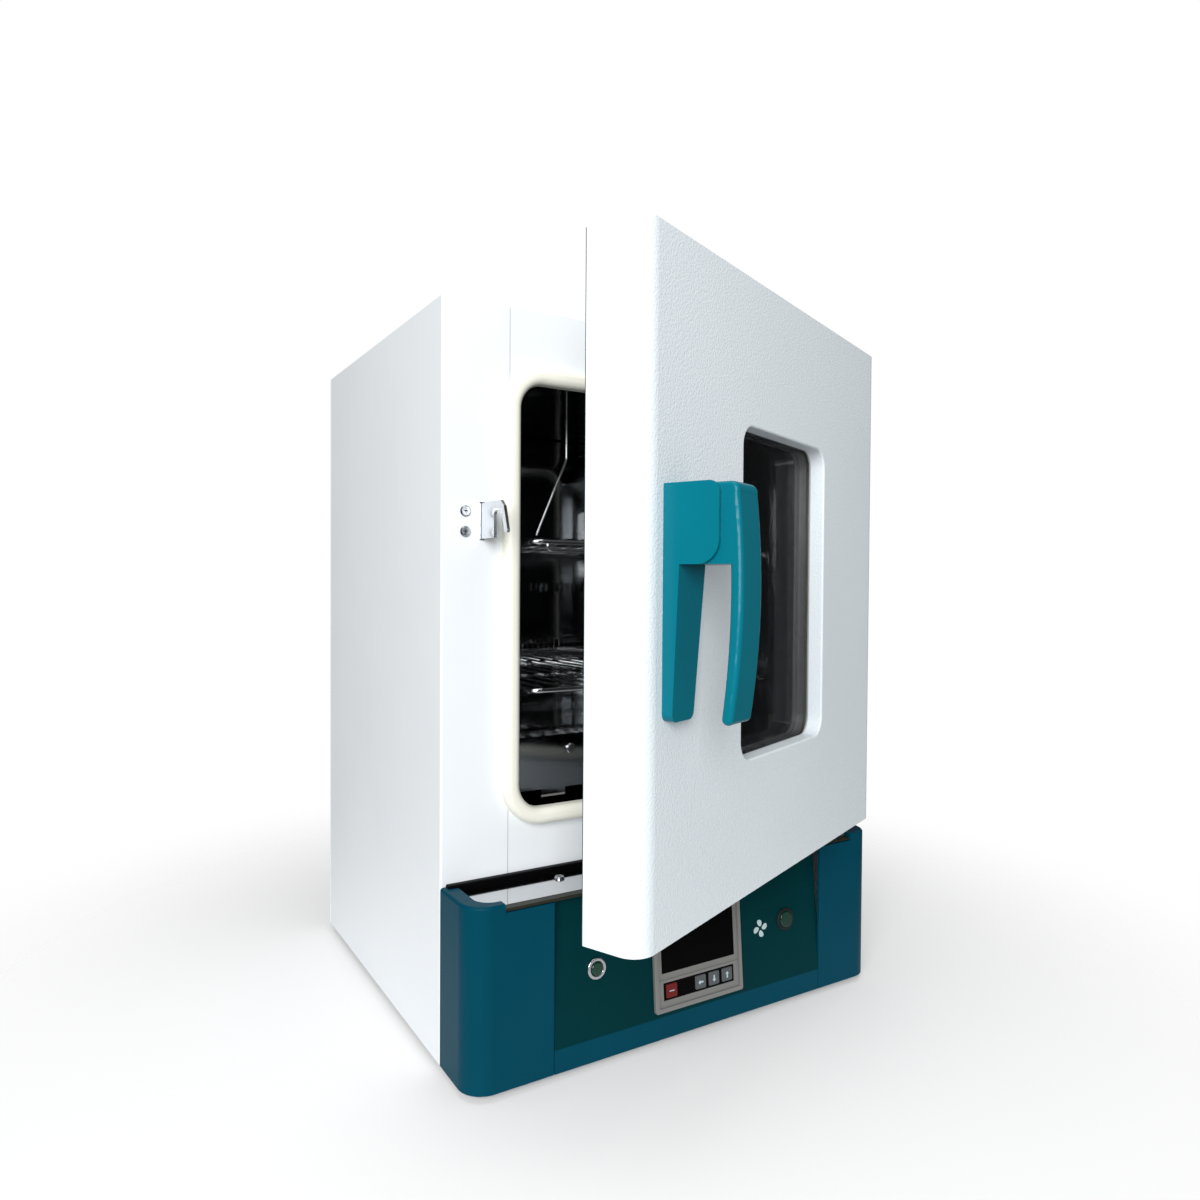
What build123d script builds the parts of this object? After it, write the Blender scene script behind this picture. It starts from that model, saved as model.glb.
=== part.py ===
from build123d import *
import os
from math import atan2, cos, degrees, radians, sin

os.makedirs("parts", exist_ok=True)

# Bench-top drying oven, door ajar. Millimetres, +Z up, the front looks along -Y.
# The origin is on the floor, under the middle of the footprint.

# Casing
cabinet_width = 548.0
cabinet_depth = 436.0
cabinet_height = 780.0
foot_height = 8.0
base_height = 177.0
base_reach = 75.0
sheet = 1.5
seam_gap = 0.8
seat_gap = 0.3
side_flange = 75.0
rear_flange = 18.0
bend_radius = 2.2

# Teal front of the base
pillar_width = 91.4
pillar_wall = 3.0
pillar_gap = 0.8
pillar_radius = 27.0
pillar_rim_rise = 4.7
pillar_rim_width = 16.0
pillar_rim_front = 11.2
pillar_rim_corner = 18.0
pillar_edge = 3.0
notch_start = 38.0
notch_drop = 3.6
lip_height = 23.5
panel_setback = 12.0
panel_top_drop = 5.0
fascia_wall = 3.0
film_thickness = 0.6
ledge_sheet = 1.5
ledge_front = 63.5
strip_height = 7.3
strip_round = 4.0
strip_depth = 9.0
strip_inset = 5.8

# Chamber
chamber_width = 380.0
chamber_height = 450.0
chamber_depth = 350.0
chamber_rise = 74.5
chamber_radius = 28.0
liner_sheet = 1.2
liner_flange = 20.0
gasket_width = 17.5
gasket_proud = 14.4
gasket_round = 7.5
duct_depth = 300.0
cover_rise = 73.5
cover_front = 8.0
cover_foot_gap = 15.0
fan_height = 340.0
fan_radius = 68.0
fan_hub_radius = 15.0
blade_count = 16
shaft_radius = 5.0
motor_radius = 40.0

# Shelves
shelf_width = 340.0
shelf_length = 284.0
shelf_rod = 3.0
shelf_wire = 1.5
shelf_pitch = 22.0
shelf_rises = (49.0, 211.5)
front_bar_drop = 9.0
rail_width = 14.0
rail_depth = 10.0
rail_sheet = 1.2
rail_pitch = 24.0
rail_setbacks = (24.0, 252.0)
clip_width = 12.0
clip_reach = 15.0

# Door
door_width = 544.0
door_height = 585.5
door_thickness = 58.0
door_gap = 15.0
door_radius = 20.0
door_sheet = 1.5
door_ajar = 22.9
hinge_inset = 21.0
hinge_setback = 15.3
hinge_pin_radius = 4.0
hinge_clearance = 0.05
hinge_levels = (55.0, 530.0)
tongue_thickness = 5.0
tongue_half_width = 9.0
window_width = 200.0
window_height = 317.0
window_rise = 129.5
window_radius = 20.0
reveal_depth = 16.0
spacer_depth = 8.0
glass_thickness = 4.0
glass_lap = 7.0
seal_thickness = 1.6

# Handle and latch, places measured from the left edge and the foot of the closed door
handle_inset = 29.0
handle_width = 43.0
block_rise = 312.5
block_height = 65.0
block_reach = 50.0
cheek_thickness = 3.0
base_plate = 8.0
leg_length = 127.0
leg_root = 15.0
leg_tip = 9.5
leg_taper = 8.6
pivot_reach = 34.0
pivot_rise = 350.5
pivot_pin_radius = 4.0
running_clearance = 0.05
latch_pin_radius = 4.0
latch_depth = 31.0
latch_drop = 14.0
tail_thickness = 6.0
hook_sheet = 3.0
hook_inset = 40.9
hook_height = 36.5
hook_rise = 342.2

# Controls on the leaning panel
bezel_size = 121.0
bezel_proud = 5.0
bezel_rim = 5.0
bezel_rise = 6.5
key_size = 14.5
key_travel = 0.6
key_places = (-38.0, 1.5, 20.2, 38.9)
key_names = ("key_set", "key_shift", "key_down", "key_up")
button_offset = 131.0
button_rise = 71.0
button_travel = 2.5

# Planes and heights that the pieces share
half_width = cabinet_width / 2
front_y = -(cabinet_depth - base_reach) / 2
back_y = front_y + cabinet_depth
nose_y = front_y - base_reach
floor_z = foot_height
top_z = floor_z + cabinet_height
ledge_z = floor_z + base_height
seam_x = half_width - side_flange
chamber_low = ledge_z + chamber_rise
chamber_high = chamber_low + chamber_height
chamber_mid = (chamber_low + chamber_high) / 2
chamber_back = front_y + chamber_depth
deck_z = ledge_z - 2.0
duct_y = front_y + duct_depth
cover_top = chamber_low + cover_rise
fan_z = chamber_low + fan_height
door_low = top_z - door_height
door_inner = front_y - door_gap
door_front = door_inner - door_thickness
hinge_x = door_width / 2 - hinge_inset
hinge_y = door_inner - hinge_setback
hinge_line = Axis((hinge_x, hinge_y, 0), (0, 0, 1))
window_mid = door_low + window_rise + window_height / 2
lean = degrees(atan2(panel_setback, base_height - panel_top_drop - lip_height))
lip_z = floor_z + lip_height
fascia_plane = Plane(
    origin=(0, nose_y, lip_z),
    x_dir=(1, 0, 0),
    z_dir=(0, -cos(radians(lean)), sin(radians(lean))),
)
screw_radius = 2.0
screw_head = 5.7
screw_head_height = 2.3
screw_head_bevel = 1.1
low_head = 4.2
low_head_height = 1.6


def front_plane(y):
    """A plane across the oven at depth y, seen from the front: local x is X, local y is Z."""
    return Plane(origin=(0, y, 0), x_dir=(1, 0, 0), z_dir=(0, -1, 0))


def side_plane(x):
    """A plane along the oven at width x, seen from the right: local x is Y, local y is Z."""
    return Plane(origin=(x, 0, 0), x_dir=(0, 1, 0), z_dir=(1, 0, 0))


def slab(x, y, z, mode=Mode.ADD):
    """Join a box to the part being built, or cut it away, from its low and high limits."""
    with Locations(((x[0] + x[1]) / 2, (y[0] + y[1]) / 2, (z[0] + z[1]) / 2)):
        Box(x[1] - x[0], y[1] - y[0], z[1] - z[0], mode=mode)


def save(part, name):
    part.label = name
    export_step(part, f"parts/{name}.step")


# Screws: a pan head on its seat and a plain shank behind it
def pan_screw(place, shank, head=screw_head, height=screw_head_height, bevel=screw_head_bevel):
    with BuildPart() as screw:
        with BuildSketch(Plane(origin=place.origin, x_dir=place.x_dir, z_dir=place.z_dir)):
            Circle(head)
        extrude(amount=height)
        chamfer(screw.faces().sort_by(Axis(place.origin, place.z_dir)).last.edges(), bevel)
        with BuildSketch(Plane(origin=place.origin, x_dir=place.x_dir, z_dir=place.z_dir)):
            Circle(screw_radius)
        extrude(amount=-shank)
    return screw.part


# Side panels: one sheet each, bent forward into a flange beside the seam and inward at the rear
keeper_x = -door_width / 2 + hook_inset
keeper_low = door_low + hook_rise
keeper_screws = [(-half_width + 25.7, keeper_low + 7.1), (-half_width + 25.7, keeper_low + 28.0)]
hinge_zs = [door_low + level for level in hinge_levels]
hinge_plate_height = 44.0
hinge_plate_width = 26.0
hinge_screws = [(hinge_x, z + step) for z in hinge_zs for step in (-14.0, 14.0)]
rear_inner = back_y - sheet - seat_gap


back_screw_x = half_width - rear_flange / 2 - 1
back_screws = [(hand * back_screw_x, z) for hand in (-1, 1) for z in (floor_z + 30, chamber_low, chamber_mid,
    chamber_high, top_z - 30)]


def side_panel(hand):
    outer = hand * half_width
    inner = hand * (half_width - sheet)
    with BuildPart() as panel:
        with BuildSketch(Plane.XY.offset(floor_z)):
            with BuildLine():
                Polyline(
                    (outer, front_y),
                    (outer, rear_inner),
                    (outer - hand * rear_flange, rear_inner),
                    (outer - hand * rear_flange, rear_inner - sheet),
                    (inner, rear_inner - sheet),
                    (inner, front_y + sheet),
                    (hand * seam_x, front_y + sheet),
                    (hand * seam_x, front_y),
                    close=True,
                )
            make_face()
            outside = [v for v in vertices() if abs(abs(v.X) - half_width) < 0.01]
            fillet(outside, bend_radius)
        extrude(amount=cabinet_height)
        slab(
            sorted((hand * (seam_x - 1), inner)),
            (front_y - 1, front_y + sheet + 1),
            (floor_z - 1, ledge_z - 12),
            mode=Mode.SUBTRACT,
        )
        slab(
            sorted((hand * (half_width - rear_flange - 1), hand * (half_width - sheet))),
            (rear_inner - sheet - 1, rear_inner + 1),
            (top_z - sheet - seat_gap, top_z + 1),
            mode=Mode.SUBTRACT,
        )
        holes = keeper_screws if hand < 0 else hinge_screws
        with BuildSketch(front_plane(front_y - 1)):
            with Locations(*holes):
                Circle(screw_radius + 0.3)
        extrude(amount=-(sheet + 2), mode=Mode.SUBTRACT)
        with BuildSketch(front_plane(rear_inner - sheet - 1)):
            with Locations(*[place for place in back_screws if place[0] * hand > 0]):
                Circle(screw_radius + 0.3)
        extrude(amount=-(sheet + 2), mode=Mode.SUBTRACT)
        if hand < 0:
            slab(
                (keeper_x - 1.2, keeper_x + hook_sheet + 1.2),
                (front_y - 1, front_y + sheet + 1),
                (keeper_low - 1.5, keeper_low + hook_height + 1.5),
                mode=Mode.SUBTRACT,
            )
    return panel.part


save(side_panel(-1), "side_panel_left")
save(side_panel(1), "side_panel_right")

# Centre front panel with the chamber mouth, its top edge turned back under the top panel
panel_half = seam_x - seam_gap
mouth_gap = liner_sheet + seat_gap
with BuildPart() as front_panel:
    with BuildSketch(front_plane(front_y)):
        with Locations((0, (deck_z + top_z) / 2)):
            Rectangle(2 * panel_half, top_z - deck_z)
        with Locations((0, chamber_mid)):
            RectangleRounded(
                chamber_width + 2 * mouth_gap,
                chamber_height + 2 * mouth_gap,
                chamber_radius + mouth_gap,
                mode=Mode.SUBTRACT,
            )
    extrude(amount=-sheet)
    slab((-panel_half, panel_half), (front_y + sheet, front_y + 14), (top_z - 2 * sheet - seat_gap,
        top_z - sheet - seat_gap))
    slab((-panel_half, panel_half), (front_y + sheet, front_y + 3), (top_z - 2 * sheet - seat_gap, top_z))
front_panel.part.label = "front_panel"
export_step(front_panel.part, "parts/front_panel.step")

# Top panel, its side edges turned down inside the side panels
top_half = half_width - sheet - seat_gap
top_front = front_y + 3 + seat_gap
with BuildPart() as top_panel:
    slab((-top_half, top_half), (top_front, rear_inner), (top_z - sheet, top_z))
    for hand in (-1, 1):
        slab(sorted((hand * (top_half - sheet), hand * top_half)),
            (top_front + 16, rear_inner - 3), (top_z - 14, top_z - sheet))
top_panel.part.label = "top_panel"
export_step(top_panel.part, "parts/top_panel.step")

# Back panel with two fields of louvre slots, the vent hole and the inlet cut-out
vent_radius = 16.0
vent_wall = 1.5
vent_x = 150.0
vent_z = chamber_high - 42.0
inlet_x = -190.0
inlet_z = floor_z + 60.0
inlet_width = 27.5
inlet_height = 20.0
slot_length = 34.0
slot_height = 4.0
slot_step = 11.0
with BuildPart() as back_panel:
    with BuildSketch(front_plane(back_y - sheet)):
        with Locations((0, (floor_z + top_z) / 2)):
            Rectangle(cabinet_width, cabinet_height)
        with Locations((vent_x, vent_z)):
            Circle(vent_radius + vent_wall + seat_gap, mode=Mode.SUBTRACT)
        with Locations((inlet_x, inlet_z)):
            Rectangle(inlet_width, inlet_height, mode=Mode.SUBTRACT)
        with Locations(*back_screws):
            Circle(screw_radius + 0.3, mode=Mode.SUBTRACT)
        with Locations((0, fan_z)):
            with GridLocations(slot_length + 12, slot_step, 2, 7):
                SlotOverall(slot_length, slot_height, mode=Mode.SUBTRACT)
        with Locations((60, floor_z + 75)):
            with GridLocations(slot_length + 12, slot_step, 3, 6):
                SlotOverall(slot_length, slot_height, mode=Mode.SUBTRACT)
    extrude(amount=-sheet)
back_panel.part.label = "back_panel"
export_step(back_panel.part, "parts/back_panel.step")

# Deck between the chamber and the electrics
deck_half = half_width - sheet - seat_gap
deck_front = front_y + sheet + seat_gap
deck_rear = rear_inner - sheet - seat_gap
with BuildPart() as deck_plate:
    slab((-deck_half, deck_half), (deck_front, deck_rear), (deck_z - sheet, deck_z))
    for hand in (-1, 1):
        slab(sorted((hand * (deck_half - sheet), hand * deck_half)), (deck_front, deck_rear),
            (deck_z - 16, deck_z - sheet))
deck_plate.part.label = "deck_plate"
export_step(deck_plate.part, "parts/deck_plate.step")

# Chamber liner: a polished drawn box with a flange behind the front panel
flange_y = front_y + sheet + seat_gap
shaft_hole = shaft_radius + 3
heater_holes = [(-60.0, chamber_low + 28.0), (60.0, chamber_low + 28.0)]
heater_hole_radius = 7.0
probe_x = -47.0
probe_y = front_y + 150.0
probe_radius = 2.0
with BuildPart() as chamber_liner:
    with BuildSketch(front_plane(flange_y)):
        with Locations((0, chamber_mid)):
            RectangleRounded(chamber_width + 2 * liner_sheet, chamber_height + 2 * liner_sheet,
                chamber_radius + liner_sheet)
    extrude(amount=-(chamber_depth + liner_sheet - (flange_y - front_y)))
    with BuildSketch(front_plane(flange_y)):
        with Locations((0, chamber_mid)):
            RectangleRounded(chamber_width + 2 * liner_flange, chamber_height + 2 * liner_flange,
                chamber_radius + liner_flange)
    extrude(amount=-liner_sheet)
    with BuildSketch(front_plane(flange_y)):
        with Locations((0, chamber_mid)):
            RectangleRounded(chamber_width + 2 * liner_sheet, chamber_height + 2 * liner_sheet,
                chamber_radius + liner_sheet)
    extrude(amount=flange_y - front_y)
    with BuildSketch(front_plane(front_y - 1)):
        with Locations((0, chamber_mid)):
            RectangleRounded(chamber_width, chamber_height, chamber_radius)
    extrude(amount=-(chamber_depth + 1), mode=Mode.SUBTRACT)
    with BuildSketch(front_plane(chamber_back - 1)):
        with Locations((0, fan_z)):
            Circle(shaft_hole)
        with Locations((vent_x, vent_z)):
            Circle(vent_radius + vent_wall + seat_gap)
        with Locations(*heater_holes):
            Circle(heater_hole_radius)
    extrude(amount=-(liner_sheet + 2), mode=Mode.SUBTRACT)
    with BuildSketch(Plane.XY.offset(chamber_high - 1)):
        with Locations((probe_x, probe_y)):
            Circle(probe_radius + 0.4)
    extrude(amount=liner_sheet + 2, mode=Mode.SUBTRACT)
chamber_liner.part.label = "chamber_liner"
export_step(chamber_liner.part, "parts/chamber_liner.step")

# Insulation round the liner, open at the front, with a pocket for the motor
motor_front = chamber_back + liner_sheet + seat_gap
motor_flange = 104.0
motor_pocket = 112.0
wool_clear = 0.4
wool_setback = 14.0
with BuildPart() as chamber_insulation:
    slab((-top_half + sheet + wool_clear, top_half - sheet - wool_clear),
        (front_y + wool_setback, rear_inner - sheet - wool_clear),
        (deck_z + wool_clear, top_z - sheet - wool_clear - 3))
    with BuildSketch(front_plane(front_y)):
        with Locations((0, chamber_mid)):
            RectangleRounded(chamber_width + 2 * (liner_sheet + wool_clear),
                chamber_height + 2 * (liner_sheet + wool_clear), chamber_radius + liner_sheet + wool_clear)
    extrude(amount=-(chamber_depth + liner_sheet + wool_clear), mode=Mode.SUBTRACT)
    slab((-motor_pocket / 2, motor_pocket / 2), (chamber_back - 5, back_y),
        (fan_z - motor_pocket / 2, fan_z + motor_pocket / 2), mode=Mode.SUBTRACT)
    for x, z in heater_holes:
        slab((x - 12, x + 12), (chamber_back - 5, back_y), (z - 12, z + 12), mode=Mode.SUBTRACT)
    with BuildSketch(front_plane(chamber_back - 5)):
        with Locations((vent_x, vent_z)):
            Circle(vent_radius + vent_wall + wool_clear)
    extrude(amount=-(back_y - chamber_back + 5), mode=Mode.SUBTRACT)
    with BuildSketch(Plane.XY.offset(chamber_high - 1)):
        with Locations((probe_x, probe_y)):
            Circle(9)
    extrude(amount=24, mode=Mode.SUBTRACT)
chamber_insulation.part.label = "chamber_insulation"
export_step(chamber_insulation.part, "parts/chamber_insulation.step")

# Silicone door seal: a rounded ring on the front panel, round the chamber mouth
with BuildPart() as door_gasket:
    with BuildSketch(front_plane(front_y)):
        with Locations((0, chamber_mid)):
            RectangleRounded(chamber_width + 2 * gasket_width, chamber_height + 2 * gasket_width,
                chamber_radius + gasket_width)
            RectangleRounded(chamber_width, chamber_height, chamber_radius, mode=Mode.SUBTRACT)
    extrude(amount=gasket_proud)
    fillet(door_gasket.faces().sort_by(Axis.Y).first.edges(), gasket_round)
door_gasket.part.label = "door_gasket"
export_step(door_gasket.part, "parts/door_gasket.step")

# Vent tube from the chamber through the insulation to the back
with BuildPart() as vent_tube:
    with BuildSketch(front_plane(chamber_back + liner_sheet)):
        with Locations((vent_x, vent_z)):
            Circle(vent_radius + vent_wall)
            Circle(vent_radius, mode=Mode.SUBTRACT)
    extrude(amount=-(back_y + 12 - chamber_back - liner_sheet))
    with BuildSketch(front_plane(back_y)):
        with Locations((vent_x, vent_z)):
            Circle(vent_radius + 9)
            Circle(vent_radius, mode=Mode.SUBTRACT)
    extrude(amount=-2)
    with BuildSketch(front_plane(chamber_back - 1)):
        with Locations((vent_x, vent_z)):
            Circle(vent_radius + vent_wall)
            Circle(vent_radius, mode=Mode.SUBTRACT)
    extrude(amount=-(liner_sheet + 2))
vent_tube.part.label = "vent_tube"
export_step(vent_tube.part, "parts/vent_tube.step")

# Slotted duct panel in front of the fan, its sides turned back to the rear wall
wall_gap = 2.0
duct_half = chamber_width / 2 - wall_gap
duct_low = cover_top + seat_gap
duct_high = chamber_high - wall_gap
duct_corner = chamber_radius - wall_gap
air_slot = (6.4, 13.0)
air_slot_pitch = 8.7
air_slot_count = 26
air_slot_rows = (chamber_low + 151.0, chamber_low + 234.0)
with BuildPart() as duct_panel:
    with BuildSketch(front_plane(duct_y)):
        with Locations((0, (duct_low + duct_high) / 2)):
            RectangleRounded(2 * duct_half, duct_high - duct_low, duct_corner)
        with Locations((0, duct_low + duct_corner / 2)):
            Rectangle(2 * duct_half, duct_corner)
        for row in air_slot_rows:
            with Locations((0, row)):
                with GridLocations(air_slot_pitch, 1, air_slot_count, 1):
                    Rectangle(*air_slot, mode=Mode.SUBTRACT)
    extrude(amount=-liner_sheet)
    for hand in (-1, 1):
        slab(sorted((hand * (duct_half - liner_sheet), hand * duct_half)),
            (duct_y, chamber_back - seat_gap), (duct_low, duct_high - duct_corner))
duct_panel.part.label = "duct_panel"
export_step(duct_panel.part, "parts/duct_panel.step")

# Cover over the heater: a step along the chamber floor, lifted on two side walls for the air to enter
cover_low = chamber_low + cover_foot_gap
cover_y = front_y + cover_front
cover_screw_x = 119.0
tab_length = 30.0
tab_x = 136.0
cover_return = 9.0
cover_return_half = 176.0
with BuildPart() as heater_cover:
    slab((-duct_half, duct_half), (cover_y, chamber_back - seat_gap), (cover_top - liner_sheet, cover_top))
    with BuildSketch(front_plane(cover_y)):
        with Locations((0, chamber_mid)):
            RectangleRounded(2 * duct_half, chamber_height - 2 * wall_gap, duct_corner)
        with Locations((0, (cover_low + cover_top) / 2)):
            Rectangle(2 * duct_half, cover_top - cover_low, mode=Mode.INTERSECT)
    extrude(amount=-liner_sheet)
    for hand in (-1, 1):
        slab(sorted((hand * (duct_half - liner_sheet), hand * duct_half)),
            (cover_y, chamber_back - seat_gap), (chamber_low + chamber_radius, cover_top))
        tab = (hand * tab_x - tab_length / 2, hand * tab_x + tab_length / 2)
        slab(tab, (cover_y + cover_return - liner_sheet, cover_y + cover_return), (chamber_low + seat_gap, cover_low))
        slab(tab, (cover_y - 1.5, cover_y + cover_return), (chamber_low + seat_gap, chamber_low + seat_gap + 1.5))
    slab((-cover_return_half, cover_return_half), (cover_y, cover_y + cover_return), (cover_low, cover_low + liner_sheet))
    with BuildSketch(front_plane(cover_y - 1)):
        with Locations((-cover_screw_x, cover_top - 16.5), (cover_screw_x, cover_top - 16.5)):
            Circle(screw_radius + 0.3)
    extrude(amount=-(liner_sheet + 2), mode=Mode.SUBTRACT)
heater_cover.part.label = "heater_cover"
export_step(heater_cover.part, "parts/heater_cover.step")

# Tubular heater under the cover: one flat serpentine with its ends through the rear wall
heater_tube = 4.0
heater_z = chamber_low + 28.0
heater_front = cover_y + 40.0
heater_rear = chamber_back + liner_sheet + 26.0
heater_run = 130.0
with BuildPart() as heater:
    with BuildLine() as heater_line:
        FilletPolyline(
            (-60, heater_rear, heater_z),
            (-60, chamber_back - 50, heater_z),
            (-heater_run, chamber_back - 50, heater_z),
            (-heater_run, heater_front, heater_z),
            (0, heater_front, heater_z),
            (0, chamber_back - 130, heater_z),
            (heater_run - 60, chamber_back - 130, heater_z),
            (heater_run - 60, heater_front, heater_z),
            (heater_run, heater_front, heater_z),
            (heater_run, chamber_back - 50, heater_z),
            (60, chamber_back - 50, heater_z),
            (60, heater_rear, heater_z),
            radius=18,
        )
    with BuildSketch(front_plane(heater_rear)):
        with Locations((-60, heater_z)):
            Circle(heater_tube)
    sweep()
    for x, z in heater_holes:
        with BuildSketch(front_plane(chamber_back - 3)):
            with Locations((x, z)):
                Circle(heater_hole_radius - 0.4)
        extrude(amount=-(liner_sheet + 3))
        with BuildSketch(front_plane(chamber_back - 0.3)):
            with Locations((x, z)):
                Circle(heater_hole_radius + 3)
        extrude(amount=3)
heater.part.label = "heater"
export_step(heater.part, "parts/heater.step")

# Fan: a radial wheel on the motor shaft
fan_front = duct_y + liner_sheet + 5.0
fan_depth = 26.0
fan_disc = 2.0
blade_thickness = 1.5
motor_body_front = motor_front + 9.0
shaft_end = motor_body_front + 12.0
with BuildPart() as fan_wheel:
    with BuildSketch(front_plane(fan_front + fan_depth)):
        with Locations((0, fan_z)):
            Circle(fan_radius)
    extrude(amount=fan_disc)
    with BuildSketch(front_plane(fan_front + fan_depth)):
        with Locations((0, fan_z)):
            Circle(fan_hub_radius)
    extrude(amount=fan_depth)
    with BuildSketch(front_plane(fan_front + fan_depth)):
        with Locations((0, fan_z)):
            with PolarLocations(fan_radius - 14, blade_count):
                with Locations(Location((0, 0), 35)):
                    Rectangle(28, blade_thickness)
    extrude(amount=fan_depth)
    with BuildSketch(front_plane(fan_front)):
        with Locations((0, fan_z)):
            Circle(fan_radius)
            Circle(fan_radius - 26, mode=Mode.SUBTRACT)
    extrude(amount=fan_disc)
    with BuildSketch(front_plane(shaft_end)):
        with Locations((0, fan_z)):
            Circle(shaft_radius)
    extrude(amount=shaft_end - fan_front - 4)
fan_wheel.part.label = "fan_wheel"
export_step(fan_wheel.part, "parts/fan_wheel.step")

# Motor: a flange on the rear wall of the chamber, four posts and the ribbed body
motor_body_back = rear_inner - sheet - 6.0
motor_post = 4.0
bearing_clearance = 0.05
with BuildPart() as fan_motor:
    with BuildSketch(front_plane(motor_front)):
        with Locations((0, fan_z)):
            RectangleRounded(motor_flange, motor_flange, 10)
            Circle(shaft_hole, mode=Mode.SUBTRACT)
    extrude(amount=-2)
    with BuildSketch(front_plane(motor_front + 2)):
        with Locations((0, fan_z)):
            with GridLocations(motor_radius + 6, motor_radius + 6, 2, 2):
                Circle(motor_post)
    extrude(amount=-(motor_body_front - motor_front - 2))
    with BuildSketch(front_plane(motor_body_front)):
        with Locations((0, fan_z)):
            Circle(motor_radius)
    extrude(amount=-(motor_body_back - motor_body_front))
    with BuildSketch(front_plane(motor_body_front + 14)):
        with Locations((0, fan_z)):
            Circle(motor_radius + 3)
            Circle(motor_radius, mode=Mode.SUBTRACT)
            with PolarLocations(motor_radius + 3, 12):
                Rectangle(8, 6, mode=Mode.SUBTRACT)
    extrude(amount=-(motor_body_back - motor_body_front - 28))
    with BuildSketch(front_plane(motor_body_front)):
        with Locations((0, fan_z)):
            Circle(9)
            Circle(shaft_radius + bearing_clearance, mode=Mode.SUBTRACT)
    extrude(amount=5)
    with BuildSketch(front_plane(motor_body_front - 6)):
        with Locations((0, fan_z)):
            Circle(shaft_radius + bearing_clearance)
    extrude(amount=-24, mode=Mode.SUBTRACT)
fan_motor.part.label = "fan_motor"
export_step(fan_motor.part, "parts/fan_motor.step")

# Temperature probe: a gland on top of the liner and a thin bent rod hanging in the chamber
probe_bend_z = floor_z + 651.0
probe_tip = (probe_x - 43.0, probe_y, floor_z + 552.0)
with BuildPart() as temperature_probe:
    with BuildLine():
        FilletPolyline(
            (probe_x, probe_y, chamber_high + liner_sheet + 14),
            (probe_x, probe_y, probe_bend_z),
            probe_tip,
            radius=14,
        )
    with BuildSketch(Plane.XY.offset(chamber_high + liner_sheet + 14)):
        with Locations((probe_x, probe_y)):
            Circle(probe_radius)
    sweep()
    with BuildSketch(Plane.XY.offset(chamber_high + liner_sheet + seat_gap)):
        with Locations((probe_x, probe_y)):
            RegularPolygon(7, 6)
    extrude(amount=9)
temperature_probe.part.label = "temperature_probe"
export_step(temperature_probe.part, "parts/temperature_probe.step")

# Shelf rails: upright channels on the side walls with a ladder of slots
rail_low = cover_top + seat_gap
rail_high = chamber_high - chamber_radius
rail_count = 15
rail_wall_x = chamber_width / 2 - seat_gap
rail_face_x = rail_wall_x - rail_depth
rail_ys = [front_y + setback for setback in rail_setbacks]


def shelf_rails(hand):
    wall = hand * rail_wall_x
    face = hand * rail_face_x
    with BuildPart() as rails:
        for y in rail_ys:
            with BuildSketch(Plane.XY.offset(rail_low)):
                with Locations(((wall + face) / 2, y)):
                    Rectangle(rail_depth, rail_width)
                with Locations(((wall + face) / 2 + hand * rail_sheet, y)):
                    Rectangle(rail_depth, rail_width - 2 * rail_sheet, mode=Mode.SUBTRACT)
            extrude(amount=rail_high - rail_low)
            with BuildSketch(side_plane(face - hand * 1)):
                with Locations((y, rail_low + 20 + rail_pitch * (rail_count - 1) / 2)):
                    with GridLocations(1, rail_pitch, 1, rail_count):
                        Rectangle(7, 3.5)
            extrude(amount=hand * (rail_sheet + 2), mode=Mode.SUBTRACT)
    return rails.part


save(shelf_rails(-1), "shelf_rails_left")
save(shelf_rails(1), "shelf_rails_right")

# Clips: an angle on each rail under each shelf, eight in all
shelf_zs = [cover_top + rise for rise in shelf_rises]
clip_sheet = 2.0
clip_top_gap = 0.3
with BuildPart() as shelf_clips:
    for z in shelf_zs:
        clip_top = z - shelf_rod - clip_top_gap
        for hand in (-1, 1):
            face = hand * (rail_face_x - seat_gap)
            for y in rail_ys:
                slab(sorted((face, face - hand * clip_sheet)), (y - clip_width / 2, y + clip_width / 2),
                    (clip_top - 14, clip_top))
                slab(sorted((face, face - hand * clip_reach)), (y - clip_width / 2, y + clip_width / 2),
                    (clip_top - clip_sheet, clip_top))
shelf_clips.part.label = "shelf_clips"
export_step(shelf_clips.part, "parts/shelf_clips.step")

# Wire shelves: a round-wire frame with a second bar below its front edge, cross wires on top
shelf_half = shelf_width / 2
shelf_front = front_y + 8.0
shelf_corner = 14.0
shelf_brace = 2.3
wire_reach = 1.6
wire_count = int((shelf_width - 2 * shelf_corner) / shelf_pitch) + 1


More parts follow.
